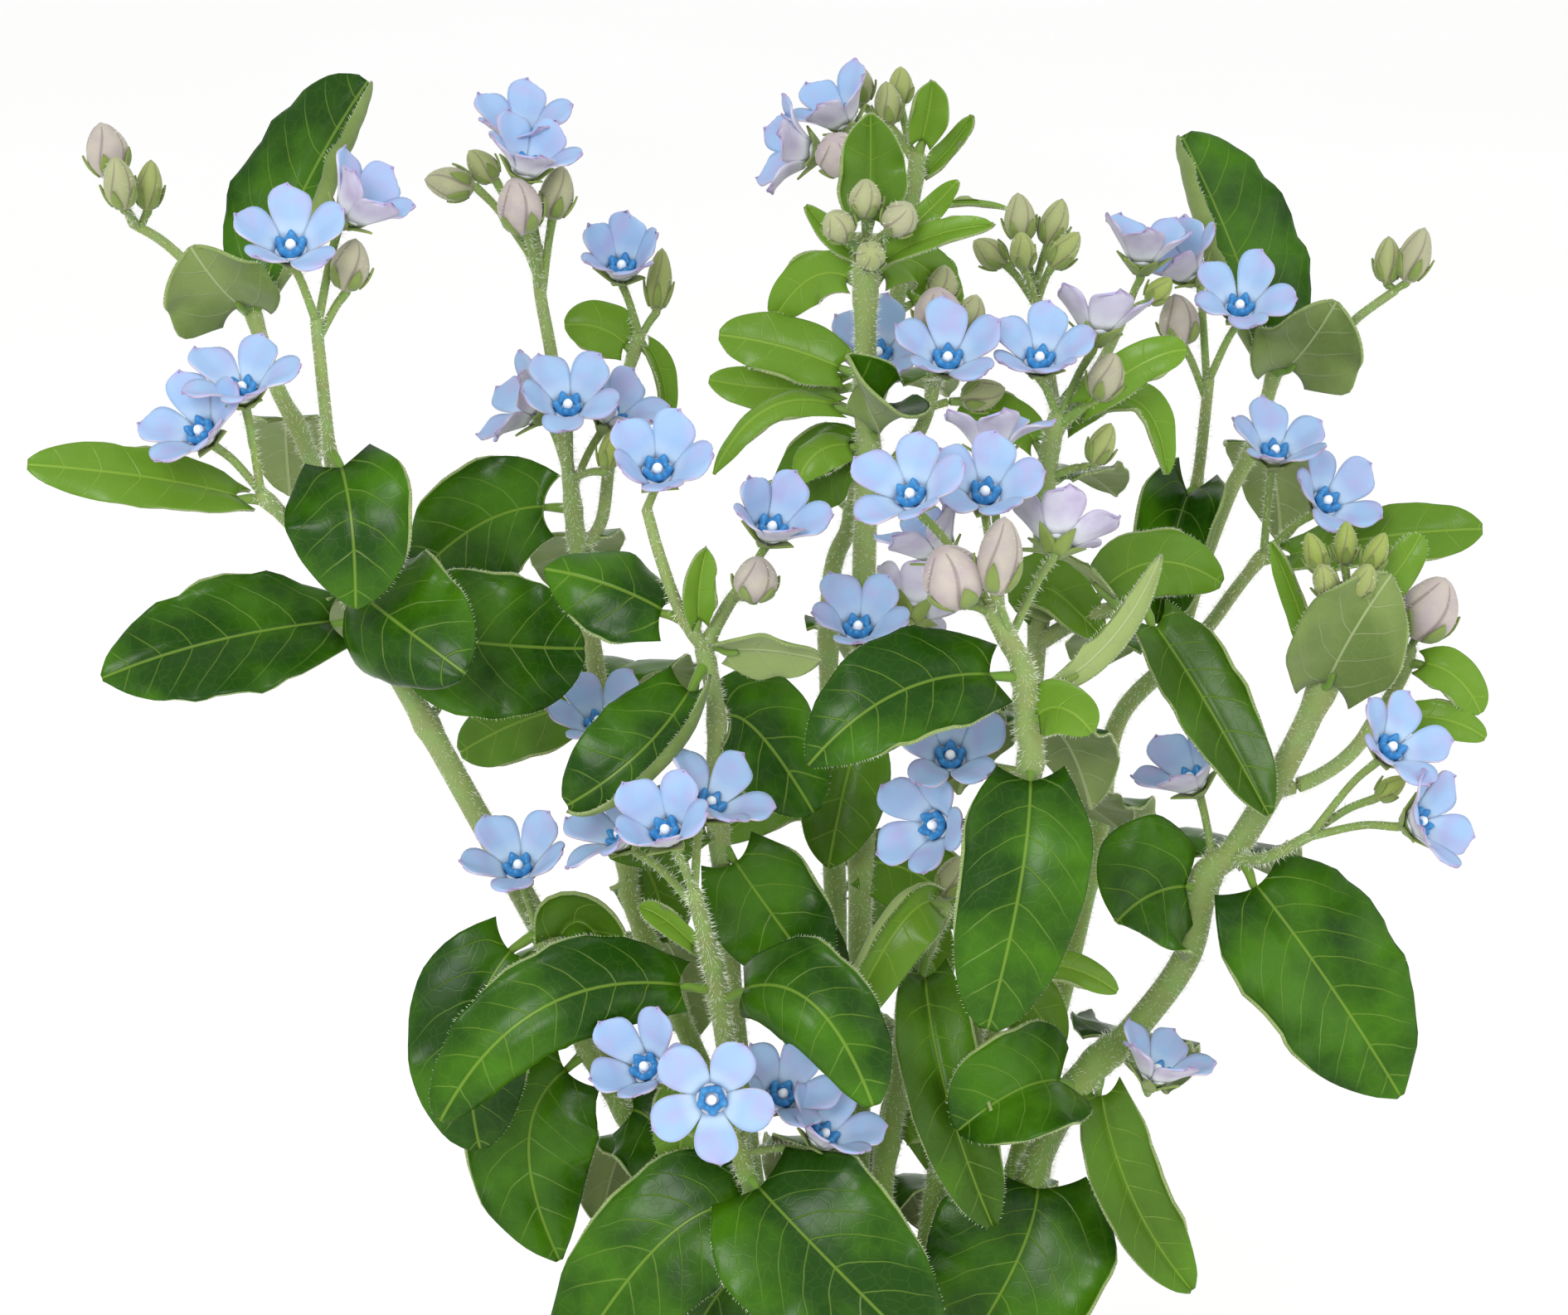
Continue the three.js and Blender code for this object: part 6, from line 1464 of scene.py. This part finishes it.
# Plant hair: clear and hollow, so it scatters nearly white
hair_white = plain_finish("plant_hair", 0.5, "#e4e8d2", "#f4f6ea", 8, {"Specular IOR Level": 0.4})
# Petal face: satin sky blue that turns lilac at its rim
petal_face = petal_finish(
    "satin_petal_face", "#b4cbe0", "#94b2d6", "#a99cc8", 0.55,
    {"Specular IOR Level": 0.25, "Sheen Weight": 0.05},
)
# Petal back: the same petal from below, paler and mauve
petal_back = petal_finish(
    "satin_petal_back", "#cdd0d8", "#bfbccf", "#9a88b0", 0.6,
    {"Specular IOR Level": 0.25, "Sheen Weight": 0.1},
)
# Flower crown: fleshy and wet-looking, a stronger blue than the petals, round a white boss
crown_blue = plain_finish("fleshy_crown_blue", 0.35, "#1d6aac", "#4a97cc", 2, {"IOR": 1.4})
crown_white = plain_finish("fleshy_crown_white", 0.4, "#e6eef6", "#ffffff", 2, {"IOR": 1.4})
# Bud skin: matt closed petals
bud_skin = bud_finish()
# Terracotta: unglazed fired clay, matt and slightly mottled, with a fine open grain
terracotta = plain_finish(
    "unglazed_terracotta", 0.85, "#a9572f", "#c17a52", 9, {"Specular IOR Level": 0.3}, 0.25,
)
# Potting soil: dark brown peat in patches, with painted shade that makes it nearly black in the hollows of its
# relief
peat = plain_finish("peat_with_painted_shade", 0.95, "#1d140d", "#4a3626", 4, {"Specular IOR Level": 0.2}, 0.8)
# Perlite: puffed volcanic glass, chalky white
perlite = plain_finish("perlite_grain", 0.9, "#cfcac0", "#efece4", 2, {"Specular IOR Level": 0.3})

GREEN_FINISHES = [leaf_top, leaf_under, leaf_edge, stem_skin, sepal_skin, bud_skin, hair_white]
LEAF_TOP, LEAF_UNDER, LEAF_EDGE, STEM, SEPAL, BUD, HAIR = range(7)
PETAL_FINISHES = [petal_face, petal_back, crown_blue, crown_white]
PETAL_FACE, PETAL_BACK, CROWN_BLUE, CROWN_WHITE = range(4)


# The pieces
finish_piece("clay_pot", [pot_part()], [terracotta], "pot")
finish_piece("potting_soil", soil_parts(), [peat, perlite], "soil")
for stem_index, stem in enumerate(PLAN):
    woody, blades, buds, hairs, corollas = grow_stem(stem, stem_index)
    name = stem["name"]
    finish_piece(name + "_stalks", woody, GREEN_FINISHES, name)
    finish_piece(name + "_leaves", blades, GREEN_FINISHES, name)
    if buds:
        finish_piece(name + "_buds", buds, GREEN_FINISHES, name)
    finish_piece(name + "_hairs", [hair_part(hairs)], [hair_white], name)
    for bloom, parts in corollas.items():
        finish_piece(bloom + "_corolla", parts, PETAL_FINISHES, bloom)

# Floor, light and camera
FLOOR_HALF = 6000
LIT_SPOT = (0, 0, 250)
SENSOR_WIDTH = 36

floor_mesh = bmesh.new()
bmesh.ops.create_grid(floor_mesh, x_segments=1, y_segments=1, size=FLOOR_HALF * METRE)
floor = solid_object("floor", floor_mesh)
# Studio floor: matt near-white paper
pale_paper = plain_finish("pale_floor", 0.9, "#fafaf9", "#fefefe", 400, {"Specular IOR Level": 0.1})
floor.data.materials.append(pale_paper)

world = bpy.data.worlds.new("studio")
bpy.context.scene.world = world
world.use_nodes = True
world.node_tree.nodes["Background"].inputs["Color"].default_value = (1, 1, 1, 1)
world.node_tree.nodes["Background"].inputs["Strength"].default_value = 1.0


def soft_light(name, spot, target, size, power):
    """A square soft box at a spot, turned to its target, all in millimetres."""
    lamp = bpy.data.lights.new(name, "AREA")
    lamp.shape = "SQUARE"
    lamp.size = size * METRE
    lamp.energy = power
    made = bpy.data.objects.new(name, lamp)
    made.location = Vector(spot) * METRE
    made.rotation_euler = (Vector(target) - Vector(spot)).to_track_quat("-Z", "Y").to_euler()
    bpy.context.scene.collection.objects.link(made)


soft_light("key", (-350, -1300, 900), LIT_SPOT, 450, 10)
soft_light("fill", (900, -700, 700), LIT_SPOT, 700, 2)

lens = bpy.data.cameras.new("camera")
lens.sensor_width = SENSOR_WIDTH
lens.lens = SENSOR_WIDTH * VIEW_DISTANCE / (PHOTO_WIDTH * MM_PER_PIXEL)
lens.clip_start = 0.01
camera = bpy.data.objects.new("camera", lens)
camera.location = EYE * METRE
camera.rotation_euler = SIGHT.to_track_quat("-Z", "Y").to_euler()
bpy.context.scene.collection.objects.link(camera)
bpy.context.scene.camera = camera
bpy.context.scene.view_settings.view_transform = "Standard"
